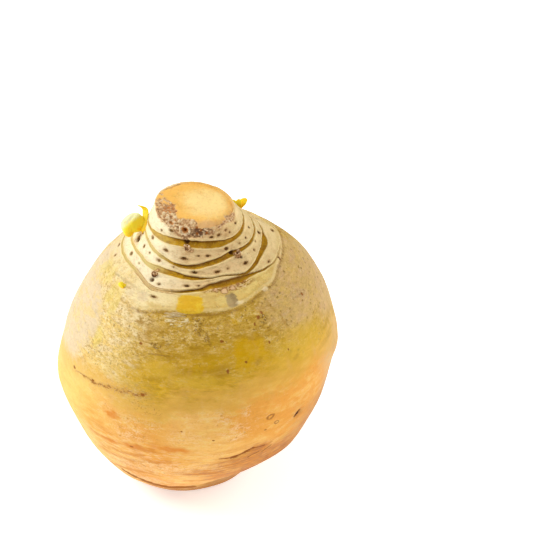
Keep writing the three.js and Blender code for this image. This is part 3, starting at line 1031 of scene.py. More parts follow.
def wornPlaces(graph, noises, plane, colour):
    # stains, darker bands and the worn, grained places at the lower right
    look = skinLook
    streak, fine, patchy, hair = pick(noises, "streak fine patchy hair")
    stain = spotMask(graph, plane, skinSpots["stain"], fine.swing(0.8), 1.5, 0.4)
    colour = graph.mix(stain * 0.75, colour, look["stain"])
    band = lineMask(graph, plane, skinLines["band"], fine.swing(2.4), 2.2, 0.4)
    colour = graph.mix(band * graph.step(patchy, 0.34, 0.54) * 0.62, colour, look["orangeDeep"])
    worn = spotMask(graph, plane, skinSpots["worn"], streak.swing(1.6), 1.35, 0.45)
    grain = graph.mix(graph.step(hair + fine.swing(0.3), 0.4, 0.58), look["rosy"], look["orangeDeep"])
    grain = graph.mix(graph.step(streak + fine.swing(0.4), 0.5, 0.64) * 0.45, grain, look["peach"])
    return graph.mix(worn * 0.85, colour, grain)


def rightFoot(graph, noises, side, height, colour):
    # the buff edge and the tan corner at the lower right
    look = skinLook
    fine, patchy, hair, mottle = pick(noises, "fine patchy hair mottle")
    edge = graph.step(side + mottle.swing(10), *look["edgeFade"]) * graph.step(height, 90.0, 74.0)
    colour = graph.mix(edge * graph.step(hair, 0.4, 0.6, 0.45, 0.8), colour, look["buffEdge"])
    corner = graph.step(side + mottle.swing(14), *look["cornerFade"])
    corner = corner * graph.step(height + patchy.swing(16), 66.0, 50.0)
    corner = corner * graph.step(hair + fine.swing(0.4), 0.36, 0.6, 0.35, 0.75)
    return graph.mix(corner, colour, look["tan"])


def lowerSkin(graph, noises, plane, side, height):
    # smooth orange rind with pale scuffs, darker bands and a browned foot that is partly painted contact
    # shadow
    look = skinLook
    colour = orangeRind(graph, noises, side, height)
    colour = scuffedSkin(graph, noises, plane, colour)
    colour = flecked(graph, noises, colour, look["scuff"], look["rosy"], 0.22)
    colour = wornPlaces(graph, noises, plane, colour)
    colour = rightFoot(graph, noises, side, height, colour)
    foot = brownFoot(graph, noises, side, height)
    line = lineMask(graph, plane, skinLines["foot"], noises["fine"] - 0.5, 1.5, 0.4)
    return graph.mix(graph.maths("MAXIMUM", foot, line * 0.85), colour, look["footBrownAndShadow"])


def paleLeft(graph, noises, side, height, colour):
    # the smooth pale left side, whose border leans with the height
    look = skinLook
    fine, patchy = pick(noises, "fine patchy")
    sideways, shaken = side + patchy.swing(12), height + fine.swing(5)
    border = -54 - 8 * graph.step(height, 92.0, 76.0) - 24 * graph.step(height, 97.0, 106.5)
    smoothLeft = graph.step(sideways * 0.4 + side * 0.6 - border, 3.5, -3.5)
    smoothLeft = smoothLeft * graph.step(shaken - (side + 61) * 0.28, 72.0, 79.0)
    blush = graph.mix(graph.step(fine, 0.42, 0.6), look["blushPale"], look["blush"])
    clouds = graph.step(noises["mottle"] + patchy.swing(0.4), 0.5, 0.62)
    blush = graph.mix(clouds * 0.4, blush, look["straw"])
    return graph.mix(smoothLeft * 0.8, colour, blush)


def tanRight(graph, noises, plane, side, height, colour):
    # the tan right shoulder with its pores
    look = skinLook
    fine, patchy, mottle = pick(noises, "fine patchy mottle")
    rightField = nearSpots(graph, plane, skinSpots["rightShoulder"]) + patchy.swing(1.0)
    smoothRight = graph.step(rightField + mottle.swing(0.4), 1.25, 0.75)
    buff = graph.mix(graph.step(mottle, 0.42, 0.62), look["buff"], look["buffPink"])
    buff = graph.mix(graph.step(fine + patchy.swing(0.5), 0.5, 0.66) * 0.5, buff, look["corkTan"])
    buff = flecked(graph, noises, buff, look["corkPale"], look["pore"], 0.3)
    colour = graph.mix(smoothRight * 0.75, colour, buff)
    nearRight = graph.step(side, 34.0, 48.0) * graph.step(height + fine.swing(5), 80.0, 90.0)
    pores = graph.step(noises["pore"] + noises["grit"].swing(0.3), 0.34, 0.16) * graph.step(fine, 0.4, 0.54)
    colour = graph.mix(nearRight * pores * 0.7, colour, look["pore"])
    cloudy = graph.step(mottle + fine.swing(0.5), 0.56, 0.7) * graph.step(side, 40.0, 56.0)
    return graph.mix(cloudy * graph.step(height, 90.0, 98.0) * 0.35, colour, look["pore"])


def wrinkledEdge(graph, noises, side, height, colour):
    # upright wrinkles at the widest part of the right side
    look = skinLook
    fine, patchy, mottle = pick(noises, "fine patchy mottle")
    wrinkled = graph.step(side + mottle.swing(12), *look["wrinkleFade"]) * graph.step(height, 56.0, 70.0)
    lines = graph.mix(graph.step(noises["wrinkle"], 0.46, 0.64) * 0.6, look["buffEdge"], look["pore"])
    wrinkled = wrinkled * graph.step(height, 102.0, 90.0)
    wrinkled = wrinkled * graph.step(patchy + fine.swing(0.4), 0.4, 0.6, 0.3, 1.0)
    return graph.mix(wrinkled * 0.4, colour, lines)


def sideSkin(graph, noises, plane, side, height, colour):
    colour = paleLeft(graph, noises, side, height, colour)
    colour = tanRight(graph, noises, plane, side, height, colour)
    return wrinkledEdge(graph, noises, side, height, colour)


def skinPatches(graph, noises, plane, colour):
    # golden, lime and olive places where the cork is thin
    look = skinLook
    fine, mottle, patchy = pick(noises, "fine mottle patchy")
    soft = spotMask(graph, plane, skinSpots["goldSoft"], patchy.swing(1.6), 1.5, 0.4)
    colour = graph.mix(soft * 0.55, colour, look["goldSoft"])
    deep = spotMask(graph, plane, skinSpots["deep"], patchy.swing(1.6), 1.5, 0.4)
    colour = graph.mix(deep * 0.4, colour, look["gold"])
    gold = spotMask(graph, plane, skinSpots["gold"], mottle.swing(1.2), 1.4, 0.6, True)
    dot = graph.step(nearSpots(graph, plane, skinSpots["goldDot"]), 1.5, 0.4)
    gold = graph.maths("MAXIMUM", gold, dot * 0.8)
    tone = graph.mix(graph.step(fine, 0.46, 0.64) * 0.3, look["gold"], look["goldSoft"])
    colour = graph.mix(gold * 0.85, colour, tone)
    lime = spotMask(graph, plane, skinSpots["lime"], noises["wrinkle"].swing(1.6), 1.3, 0.6)
    colour = graph.mix(lime * 0.4, colour, look["lime"])
    olive = spotMask(graph, plane, skinSpots["olive"], fine.swing(1.4), 1.4, 0.4)
    vein = lineMask(graph, plane, skinLines["vein"], fine.swing(1.6), 1.6, 0.3)
    return graph.mix(graph.maths("MAXIMUM", olive, vein) * 0.4, colour, look["thread"])


def corkMarks(graph, noises, still, line, colour):
    # crusted spots, beads along the crease, pale bars painted as highlights on cork ridges, and torn cork,
    # and how far they stand out
    look = skinLook
    crust, grit, fine = pick(noises, "crust grit fine")
    crusted = spotMask(graph, still, skinSpots["crusted"], fine.swing(1.4), 1.3, 0.6)
    pits = graph.step(crust * 0.6 + grit * 0.4, 0.52, 0.42) * crusted
    colour = graph.mix(crusted * 0.35, colour, look["corkDull"])
    colour = graph.mix(pits * 0.65, colour, look["corkLine"])
    beads = graph.step(noises["bead"] + crust.swing(0.6), 0.34, 0.1)
    beads = beads * graph.maths("MAXIMUM", graph.step(line + fine.swing(3), 4.0, 1.6), crusted)
    colour = graph.mix(beads * 0.7, colour, look["blushPale"])
    # pale bars: painted highlights on ridges of the cork
    highlightBars = lineMask(graph, still, skinLines["highlightBars"], fine.swing(2.6), 1.3, 0.5)
    highlightBars = highlightBars * graph.step(noises["hair"] + crust.swing(0.6), 0.4, 0.52)
    colour = graph.mix(highlightBars * 0.7, colour, look["corkPale"])
    torn = lineMask(graph, still, skinLines["torn"], crust.swing(2.0), 1.5, 0.3)
    colour = graph.mix(torn * graph.step(crust, 0.36, 0.56) * 0.55, colour, look["corkLine"])
    return colour, (pits, torn, beads, highlightBars)


def brownMarks(graph, noises, still, line):
    # where dots, rings, slits, specks and the crease are brown
    crust, grit, fine = pick(noises, "crust grit fine")
    creased = graph.step(line + crust.swing(3.4), 1.6, 0.2) * graph.step(fine + grit.swing(0.6), 0.44, 0.58)
    scatter = spotMask(graph, still, skinSpots["scatter"], fine - 0.5, 1.2, 0.7)
    scatter = scatter * graph.step(grit * 0.5 + crust * 0.5, 0.44, 0.38)
    slit = lineMask(graph, still, skinLines["slit"], crust.swing(2.2), 1.5, 0.3)
    dots = spotMask(graph, still, skinSpots["dots"], crust - 0.5, 1.3, 0.5)
    rings = graph.maths("ABSOLUTE", nearSpots(graph, still, skinSpots["rings"]) - 1.0)
    rings = graph.step(rings + crust.swing(1.1), 0.6, 0.1)
    marks = graph.maths("MAXIMUM", graph.maths("MAXIMUM", dots * 0.9, rings * 0.7), creased * 0.7)
    return graph.maths("MAXIMUM", marks, graph.maths("MAXIMUM", scatter * 0.6, slit * 0.95))


def skinMarks(graph, noises, plane, still, colour):
    # small single marks of this root: lenticels, holes, creases and crusted spots
    look = skinLook
    crust, fine = pick(noises, "crust fine")
    line = nearLines(graph, plane, skinLines["crease"])
    colour, (pits, torn, beads, highlightBars) = corkMarks(graph, noises, still, line, colour)
    colour = graph.mix(graph.step(line + fine.swing(2.0), 3.0, 0.6) * 0.22, colour, look["rosy"])
    marks = brownMarks(graph, noises, still, line)
    hole = lineMask(graph, still, skinLines["hole"], crust.swing(1.8), 1.2, 0.5)
    reddened = spotMask(graph, still, skinSpots["reddened"], fine - 0.5, 1.4, 0.3)
    colour = graph.mix(reddened * 0.45, colour, look["rosy"])
    colour = graph.mix(marks, colour, look["brown"])
    colour = graph.mix(hole * 0.95, colour, look["holeBrown"])
    return colour, (marks + hole) * 0.3 + pits * 0.7 + torn * 0.4 - beads * 0.8 - highlightBars * 0.5


def swayed(graph, middle, sway, amount):
    # a place on the turn-and-height plane moved about by up to half the amount
    wide, tall = amount
    shift = graph.vector("MULTIPLY_ADD", sway, (wide, tall, 0.0), (-wide / 2, -tall / 2, 0.0))
    return graph.vector("ADD", middle, shift)


def skinColours(graph, noises, turn, side, height):
    # orange below and corky yellow-green above, with the patches and marks laid over both
    look = skinLook
    middle = graph.make("ShaderNodeCombineXYZ", {}, {0: turn, 1: height})
    sway = graph.noiseColour(graph.place(), 220.0)
    plane = swayed(graph, middle, sway, look["looseSway"])
    still = swayed(graph, middle, sway, look["stillSway"])
    dip = 5 * graph.step(turn, -44.0, -26.0) * graph.step(turn, -4.0, -14.0)
    wave = 5 * graph.step(side, 14.0, 30.0) - dip
    wave = wave - 5 * graph.step(side, 56.0, 78.0) - 4 * graph.step(side, -50.0, -76.0)
    flushAt = wave + look["flushHeight"] + noises["broad"].swing(10) + noises["patchy"].swing(12)
    upper = graph.step(height - flushAt + noises["fine"].swing(10), *look["flushFade"])
    top, reach, specks = upperSkin(graph, noises, side, height)
    colour = graph.mix(upper, lowerSkin(graph, noises, plane, side, height), top)
    between = graph.step(graph.maths("ABSOLUTE", upper - 0.5), 0.5, 0.1)
    colour = graph.mix(between * 0.5, colour, look["ochre"])
    colour = sideSkin(graph, noises, plane, side, height, colour)
    colour = skinPatches(graph, noises, plane, colour)
    colour, marks = skinMarks(graph, noises, plane, still, colour)
    return colour, upper * reach, specks * upper, marks


def terraceBand(graph, noises, plane, side, fromLeft, colour):
    # the pale band itself, duller to the right
    look = neckLook
    fine, hair, mottle = pick(noises, "fine hair mottle")
    band = graph.mix(graph.step(fine + mottle.swing(0.8), 0.42, 0.62), look["outerScar"], look["outerShade"])
    band = graph.mix(graph.step(side + fine.swing(20), 6.0, -22.0), band, look["outerLeft"])
    white = spotMask(graph, plane, terraceSpots["white"], fine - 0.5, 1.2, 0.7)
    band = graph.mix(white * 0.7, band, skinLook["blushPale"])
    band = graph.mix(graph.step(hair, 0.56, 0.7) * 0.25, band, look["edge"])
    band = flecked(graph, noises, band, look["rim"], look["outerShade"], 0.35)
    colour = graph.mix(graph.attribute("outer") * (fromLeft * 0.45 + 0.4), colour, band)
    dull = spotMask(graph, plane, terraceSpots["dull"], fine - 0.5, 1.2, 0.6)
    return graph.mix(dull * 0.5, colour, look["outerShade"])


def lipEdges(graph, noises, fromLeft, colour):
    # painted highlight along the top of the lip and painted shadow under it
    look = neckLook
    grit, crust = pick(noises, "grit crust")
    lip = graph.attribute("lip")
    ragged = grit.swing(0.6) + crust.swing(0.9)
    # painted highlight along the rounded top of the lip
    lipHighlight = graph.step(graph.maths("ABSOLUTE", lip - 0.4 + ragged), 1.1, 0.2)
    colour = graph.mix(lipHighlight * (fromLeft * 0.3 + 0.1), colour, look["rim"])
    # painted shadow: a brown band under the lip
    under = graph.step(graph.maths("ABSOLUTE", lip + 1.1 + ragged * 1.4), 1.0, 0.2)
    under = under * graph.step(crust, 0.38, 0.58) * (fromLeft * 0.45 + 0.08)
    return graph.mix(under, colour, look["edge"])


def terracePatches(graph, noises, plane, turn, colour):
    # the golden patch, the grey spot with a painted shadow over one side, and the pale crescents, which are
    # painted highlights
    look = neckLook
    fine, mottle = pick(noises, "fine mottle")
    gold = spotMask(graph, plane, terraceSpots["gold"], fine.swing(0.3), 1.25, 0.8, True)
    tone = graph.mix(graph.step(mottle + fine.swing(0.4), 0.42, 0.6), look["patch"], look["patchPale"])
    colour = graph.mix(gold * 0.9, colour, tone)
    grey = spotMask(graph, plane, terraceSpots["grey"], fine.swing(0.3), 1.3, 0.6, True)
    shadow = graph.step(turn + fine.swing(4), 24.0, 28.0)
    colour = graph.mix(grey * 0.8, colour, graph.mix(shadow, look["grey"], look["greyDark"]))
    # painted highlights
    highlightCrescent = spotMask(graph, plane, terraceSpots["highlightCrescent"], fine.swing(0.6), 1.4, 0.5)
    return graph.mix(highlightCrescent * 0.65, colour, skinLook["corkPale"])


def layeredBark(graph, noises, turn, colour):
    # bark torn in layers just under the lowest recess
    look = neckLook
    fine, crust = pick(noises, "fine crust")
    groove, inGroove = graph.attribute("groove"), graph.attribute("inGroove")
    below = graph.step(groove + fine.swing(2.4) - graph.step(turn, 16.0, 30.0), 1.6, 0.9)
    below = below * graph.step(inGroove, -0.2, -0.8)
    shaken = turn + fine.swing(8)
    layered = below * graph.step(shaken, 6.0, 12.0) * graph.step(shaken, 50.0, 40.0)
    tone = crust * 0.4 + noises["hair"] * 0.6 + noises["grit"].swing(0.3)
    bark = graph.mix(graph.step(tone, 0.46, 0.51), look["torn"], look["outerShade"])
    bark = graph.mix(graph.step(tone, 0.52, 0.58), bark, look["crumb"])
    return graph.mix(layered * 0.9, colour, bark)


def outerColours(graph, noises, turn, side, height, colour):
    # the smooth terrace between the leaf scars and the lip
    fine, crust = pick(noises, "fine crust")
    plane = graph.make("ShaderNodeCombineXYZ", {}, {0: turn + crust.swing(4), 1: height + fine.swing(1.4)})
    fromLeft = graph.step(side + fine.swing(14), -52.0, -26.0)
    colour = terraceBand(graph, noises, plane, side, fromLeft, colour)
    colour = lipEdges(graph, noises, fromLeft, colour)
    colour = terracePatches(graph, noises, plane, turn, colour)
    return layeredBark(graph, noises, turn, colour)


def scarBody(graph, noises, side, right):
    # the face of a leaf scar, greyer and more stained to the right; its paling to the left is partly painted
    # light from the left
    look = neckLook
    fine, crust, hair, patchy = pick(noises, "fine crust hair patchy")
    body = graph.mix(right, look["scarLeft"], look["scarRight"])
    shade = graph.step(fine * 0.5 + crust * 0.5, 0.46, 0.64) * (right * 0.35 + 0.3)
    body = graph.mix(shade, body, look["scarGrey"])
    body = graph.mix(graph.step(hair, 0.58, 0.74) * (right * 0.25 + 0.1), body, look["edge"])
    stained = graph.step(patchy + fine.swing(0.5) + right * 0.08, 0.56, 0.74)
    body = graph.mix(stained * (right * 0.3 + 0.15), body, look["scarStain"])
    return graph.mix(graph.step(side, 42.0, 62.0) * 0.4, body, look["rim"])


def recessFilling(graph, noises, side, high, leftward, doubled):
    # golden in the recess, with painted shade under its upper edge, pale on the left
    look = neckLook
    fine, grit, crust = pick(noises, "fine grit crust")
    browned = graph.step(fine + crust.swing(0.4), 0.42, 0.6)
    filling = graph.mix(browned * 0.7, look["groove"], look["grooveBrown"])
    filling = graph.mix(graph.step(crust + grit.swing(0.4), 0.56, 0.68) * 0.4, filling, look["outerShade"])
    # painted shade where the scar above overhangs the recess, reaching further on the right
    filling = graph.mix(graph.step(high, 0.45, 1.3), filling, look["grooveShadow"])
    filling = graph.mix(graph.step(side + fine.swing(30), 0.0, 24.0) * 0.35, filling, look["grooveBrown"])
    pale = graph.mix(graph.step(high, 0.3, 1.2) * 0.5, look["grooveLeft"], look["groove"])
    pale = graph.mix(doubled * 0.8, pale, look["scarRight"])
    return graph.mix(graph.maths("MAXIMUM", leftward, doubled) * 0.85, filling, pale)


def scarColours(graph, noises, turn, side, height, colour):
    # pale leaf scars with raised borders, and the golden recesses between them
    look = neckLook
    grit, crust, patchy = pick(noises, "grit crust patchy")
    groove, outer = graph.attribute("groove"), graph.attribute("outer")
    ragged = grit.swing(0.5) + crust.swing(0.7)
    right = graph.step(side + patchy.swing(50), -42.0, 6.0)
    colour = graph.mix(graph.attribute("scar"), colour, scarBody(graph, noises, side, right))
    rim = graph.step(groove + ragged * 1.1 + patchy.swing(1.2), 1.0, 0.2)
    bare = graph.step(height, 115.2, 114.2) * graph.step(turn, 2.0, 12.0) * graph.step(turn, 52.0, 42.0)
    colour = graph.mix(rim * outer * (0.6 - bare * 0.6), colour, look["rim"])
    leftward = graph.step(side + noises["fine"].swing(16), -16.0, -42.0)
    leftward = leftward * graph.step(height, 126.0, 122.5, 0.3, 1.0)
    doubled = graph.step(height, 115.6, 114.6)
    doubled = doubled * graph.step(turn, -56.0, -46.0) * graph.step(turn, -4.0, -16.0)
    inside = graph.step(groove + ragged * (leftward * 0.3 + 0.3) - leftward * 0.34, 0.12, -0.2)
    high = graph.attribute("inGroove") + ragged * 1.4 + right * 0.4
    filling = recessFilling(graph, noises, side, high, leftward, doubled)
    colour = graph.mix(inside * outer * (1.0 - leftward * 0.25), colour, filling)
    double = graph.step(graph.maths("ABSOLUTE", groove - 0.42 + ragged * 0.4), 0.3, 0.06) * doubled
    colour = graph.mix(double * outer * graph.step(crust, 0.3, 0.5, 0.4, 0.85), colour, look["scarStain"])
    edge = graph.step(graph.maths("ABSOLUTE", groove - 0.05 + ragged * 0.5), 0.2, 0.03)
    edge = edge * graph.step(crust, 0.44, 0.62) * (0.45 - leftward * 0.35)
    return graph.mix(edge * outer, colour, look["edge"])


def neckColours(graph, noises, turn, side, height, colour):
    # terrace and scars, then the vein dots, lumps and hollows on them
    look = neckLook
    grit, crust = pick(noises, "grit crust")
    colour = outerColours(graph, noises, turn, side, height, colour)
    colour = scarColours(graph, noises, turn, side, height, colour)
    dots = graph.attribute("dot") + grit.swing(0.4) + crust.swing(0.6)
    colour = graph.mix(graph.step(dots, 0.5, 0.1) * 0.45, colour, look["scarStain"])
    dotColour = graph.mix(graph.step(grit, 0.42, 0.6), look["dot"], look["edge"])
    dotColour = graph.mix(graph.step(side + grit.swing(30), -14.0, -50.0) * 0.65, dotColour, look["dotPale"])
    colour = graph.mix(graph.step(dots, 0.14, -0.12), colour, dotColour)
    ragged = grit.swing(0.6) + crust.swing(0.8)
    away = graph.attribute("lump") + ragged + noises["fine"].swing(2.6)
    lump = graph.step(away, 0.3, -0.3)
    # lumps turn brown towards their edges and in flecks, partly painted shade round each lump
    lumpColour = graph.mix(graph.step(away + crust.swing(2.4), 0.0, -1.0), look["torn"], look["lump"])
    colour = graph.mix(lump * 0.9, colour, lumpColour)
    hollow = graph.step(graph.attribute("hollow") + ragged, 0.2, -0.6)
    return graph.mix(hollow * 0.95, colour, look["hollow"])


def nearness(graph, place, name, ragged):
    # distance in mm from one of the places on the cut, squeezed along the axes
    middle, stretch = cutPlaces[name]
    offset = graph.vector("SUBTRACT", place, Vector(middle) * mm)
    offset = graph.vector("MULTIPLY", offset, stretch)
    return graph.vector("LENGTH", offset, output="Value") * 1000 + ragged


def decayColours(graph, place, noises):
    # crumbs coloured by how far they stand out, rusty on the left and dark at the front
    look = neckLook
    grain = graph.noise(place, 700.0, 3.0, 0.6)
    tall = graph.attribute("crumb") + grain.swing(1.2) + noises["grit"].swing(0.7)
    colour = graph.mix(graph.step(tall, -0.05, 0.4), look["crumbDark"], look["crumbTan"])
    colour = graph.mix(graph.step(tall, 0.3, 0.75), colour, look["crumb"])
    colour = graph.mix(graph.step(tall, 0.9, 1.4) * 0.6, colour, look["crumbPale"])
    rusty = graph.step(nearness(graph, place, "rusty", grain.swing(6)), 4.4, 1.4)
    flat = graph.step(tall, 0.6, 0.1)
    colour = graph.mix(flat * graph.step(grain, 0.4, 0.56) * 0.7, colour, look["crumbTan"])
    specks = graph.step(noises["bead"] + grain.swing(0.8), 0.5, 0.2)
    colour = graph.mix(rusty * specks * graph.step(tall, 1.2, 0.5) * 0.85, colour, look["rust"])
    dark = nearness(graph, place, "black", grain.swing(4))
    dark = graph.step(dark, 3.2, 1.2) * graph.step(tall, 1.1, 0.4)
    colour = graph.mix(dark * 0.85, colour, look["crumbBlack"])
    pit = graph.attribute("pit") + grain.swing(0.9)
    border = graph.attribute("border") * graph.step(grain, 0.38, 0.5)
    colour = graph.mix(border * 0.8, colour, look["crumbPale"])
    colour = graph.mix(graph.step(pit, 0.1, -0.4) * 0.85, colour, look["rust"])
    return graph.mix(graph.step(pit, -0.45, -1.0), colour, look["rustDark"])


def cutColours(graph, place, noises, colour):
    # the flesh of the cut face, palest inside, and the decayed part of its rim
    look = neckLook
    cut = graph.attribute("cut")
    decay = graph.attribute("decay")
    flat = graph.vector("MULTIPLY", place, (1.0, 1.0, 0.2))
    grain = graph.noise(flat, 220.0, 4.0, 0.6)
    cloud = graph.noise(flat, 90.0, 3.0, 0.6)
    away = nearness(graph, flat, "pale", grain.swing(8))
    flesh = graph.mix(graph.step(away + cloud.swing(8), 5.0, 13.0), look["flesh"], look["fleshDeep"])
    right = graph.vector("DOT_PRODUCT", flat, (1.0, -0.35, 0.0), output="Value") * 1000
    rimmed = graph.step(away + (right - 12) * 0.3, 11.5, 15.5)
    flesh = graph.mix(rimmed * 0.7, flesh, look["fleshRim"])
    tan = nearness(graph, place, "tan", grain.swing(4))
    flesh = graph.mix(graph.step(tan, 4.2, 1.6) * 0.75, flesh, look["fleshTan"])
    band = nearness(graph, place, "brown", grain.swing(3))
    flesh = graph.mix(graph.step(band, 2.4, 1.0) * 0.8, flesh, look["fleshEdge"])
    rings = graph.step(graph.noise(flat, 900.0, 2.0, 0.5), 0.5, 0.7)
    flesh = graph.mix(rings * 0.12, flesh, look["fleshEdge"])
    colour = graph.mix(cut, colour, flesh)
    colour = graph.mix(graph.step(band, 2.0, 0.8) * 0.7, colour, look["fleshEdge"])
    colour = graph.mix(graph.step(decay + grain.swing(0.5), 0.0, 0.25) * 0.5, colour, look["fleshTan"])
    rotten = decayColours(graph, place, noises)
    return graph.mix(graph.step(decay + noises["grit"].swing(0.4), 0.35, 0.65), colour, rotten)


rootFinish = {
    "bumpStrength": 0.6,
    "bumpHeight": 0.0006,
    "roughness": (0.5, 0.62),
    "fixed": {"Subsurface Weight": 0.04, "Subsurface Scale": 0.003, "Specular IOR Level": 0.08},
}


def rootMaterial():
    # skin, then neck, then cut face, each laid over the last
    graph = Graph("rootSkinShader")
    place = graph.place()
    turn, height = around(graph, place)
    side = foldedTurn(graph, turn)
    noises = noiseSet(graph, place)
    colour, reach, specks, marks = skinColours(graph, noises, turn, side, height)
    colour = neckColours(graph, noises, turn, side, height, colour)
    colour = cutColours(graph, place, noises, colour)
    relief = noises["fine"] * 0.5 + noises["grit"] * 0.2 + reach * 0.5 - specks * 0.6 - marks * 1.2
    finish = rootFinish
    normal = graph.bump(relief, finish["bumpStrength"], finish["bumpHeight"])
    roughness = graph.step(noises["patchy"], 0.3, 0.7, *finish["roughness"])
    return graph.surface(colour, roughness, normal, finish["fixed"])


def valueAt(values, t):
    # a number along a smooth line through evenly spaced values
    last = len(values) - 1
    i = min(int(t * last), last - 1)
    before, after = values[max(i - 1, 0)], values[min(i + 2, last)]
    return curveThrough(before, values[i], values[i + 1], after, t * last - i)


def placeAt(points, t):
    return Vector([valueAt(column, t) for column in zip(*points)])


def addLimb(bm, path, widths, flat, side, ripple=0.0, segments=20, rings=28):
    # a closed fleshy leaf along the path: a ball whose rings are laid out along it
    tip = bm.verts.layers.float.get("tip") or bm.verts.layers.float.new("tip")
    made = bmesh.ops.create_uvsphere(bm, u_segments=segments, v_segments=rings, radius=1.0)["verts"]
    for vertex in made:
        t = math.acos(clamp(-vertex.co.z, -1.0, 1.0)) / math.pi
        outward = Vector((vertex.co.x, vertex.co.y))
        centre = placeAt(path, t)
        ahead = (placeAt(path, min(t + 0.02, 1.0)) - placeAt(path, max(t - 0.02, 0.0))).normalized()
        across = (Vector(side) - ahead * ahead.dot(Vector(side))).normalized()
        depth = ahead.cross(across)
        width = valueAt(widths, t)
        if outward.length > 1e-6:
            outward.normalize()
            width *= 1 + ripple * math.sin(5 * math.atan2(outward.y, outward.x) + 9 * t)
        else:
            width = 0.0
        cupped = -0.55 * flat * outward.x * outward.x
        inward = outward.y * flat + cupped + 0.35 * flat
        vertex.co = centre + across * outward.x * width + depth * inward * width
        vertex[tip] = t
    return made


sproutLook = {
    "gold": tint(255, 204, 20),
    "lemon": tint(255, 226, 52),
    # pale is the painted highlight on the upper-left rim of the hooded leaf
    "pale": tint(255, 250, 190),
    "fold": tint(248, 176, 6),
    "root": tint(156, 94, 18),
    "hoodShift": (0.2, 0.0, 0.9),
    "hoodDepth": 3.4,
    "scoop": 0.7,
}

# Outline of the hooded leaf as seen from the front: angle from the right, reach in mm.
hoodOutline = [
    (-142, 5.0), (-114, 5.6), (-98, 5.2), (-80, 3.6), (-50, 4.1), (-26, 5.1), (7, 5.1), (37, 5.1), (63, 5.1),
    (93, 4.5), (135, 4.1), (178, 4.8),
]


def sproutMaterial():
    look = sproutLook
    graph = Graph("sproutLeafShader")
    place = graph.place()
    tip = graph.attribute("tip")
    grain = graph.noise(place, 500.0, 4.0, 0.6)
    veins = graph.noise(graph.vector("MULTIPLY", place, (1.0, 1.0, 0.25)), 900.0, 3.0, 0.6)
    colour = graph.mix(graph.step(tip + grain.swing(0.3), 0.2, 0.7), look["gold"], look["lemon"])
    # pale: painted highlight on the hooded leaf's upper-left rim, the side that faces the light
    pale = graph.step(graph.attribute("pale") + grain.swing(0.3), 0.05, 0.95)
    colour = graph.mix(pale, colour, look["pale"])
    fold = graph.step(graph.attribute("fold") + grain.swing(0.4), 0.3, 0.9)
    colour = graph.mix(fold * 0.7, colour, look["fold"])
    colour = graph.mix(graph.step(veins, 0.54, 0.7) * 0.25, colour, look["gold"])
    colour = graph.mix(graph.step(tip + grain.swing(0.16), 0.14, 0.03), colour, look["root"])
    normal = graph.bump(veins, 0.35, 0.0003)
    roughness = graph.step(grain, 0.3, 0.7, 0.36, 0.5)
    fixed = {"Subsurface Weight": 0.25, "Subsurface Scale": 0.002, "Specular IOR Level": 0.2}
    return graph.surface(colour, roughness, normal, fixed)


def hoodVertex(way):
    # one place on the hooded leaf in mm, with how pale, folded and far from its foot it is; the pale
    # upper-left rim is a painted highlight and the golder lower part is partly painted shade
    look = sproutLook
    right, up, inward = Vector((1, 0, 0)), Vector((0, 0.574, 0.819)), Vector((0, 0.819, -0.574))
    across, rise = way.dot(right), way.dot(up)
    reach = ringValues(hoodOutline, math.degrees(math.atan2(rise, across)))[0]
    reach = 4.6 + (reach - 4.6) * smooth(math.hypot(across, rise), 0.2, 0.8)
    body = (right * across + up * rise) * reach + inward * way.dot(inward) * look["hoodDepth"]
    hollow = (right * 0.45 - up * 0.25 - inward * 0.85).normalized()
    body -= hollow * look["scoop"] * smooth(way.dot(hollow), 0.35, 0.95)
    ripple = math.sin(3.4 * (across * 1.6 - rise) * (1 + rise) + 1.0)
    body += way * 0.16 * ripple * smooth(-way.dot(inward), 0.0, 0.6)
    # painted highlight: paler towards the upper left, where the light falls
    pale = smooth(0.8 * rise - 0.6 * across, -0.3, 0.6)
    fold = 0.35 * max(ripple, 0)
    stain = math.exp(-((across - 0.74) ** 2 + (rise + 0.44) ** 2) / 0.05)
    stain = max(stain, 0.8 * math.exp(-((across + 0.1) ** 2 + (rise + 0.94) ** 2) / 0.05))
    # tip grows upwards, so the lower hollow stays gold, partly the leaf's own colour and partly painted
    # shade; the stains pull it towards brown
    return body, pale, fold, 0.55 + 0.35 * smooth(rise, -0.8, 0.7) - 0.5 * stain


def hoodLeaf(centre, material):
    # a fleshy young leaf cupped forwards, its thick upper rim painted paler than the hollow as a highlight
    bm = bmesh.new()
    bmesh.ops.create_uvsphere(bm, u_segments=96, v_segments=64, radius=1.0)
    layers = [bm.verts.layers.float.new(name) for name in ("pale", "fold", "tip")]
    for vertex in bm.verts:
        body, *values = hoodVertex(vertex.co.normalized())
        vertex.co = centre + body * mm
        for layer, value in zip(layers, values):
            vertex[layer] = value
    return finishMesh(bm, "leftSproutLeaf", material)


def standLimbs(name, limbs, foot, material):
    bm = bmesh.new()
    for limb in limbs:
        addLimb(bm, **limb)
    bmesh.ops.scale(bm, verts=bm.verts, vec=(mm, mm, mm))
    bmesh.ops.translate(bm, verts=bm.verts, vec=foot)
    return finishMesh(bm, name, material)


def boxMiddle(node):
    low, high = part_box(node)
    return (low + high) / 2


def boxFoot(node):
    low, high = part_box(node)
    return Vector(((low.x + high.x) / 2, (low.y + high.y) / 2, low.z))


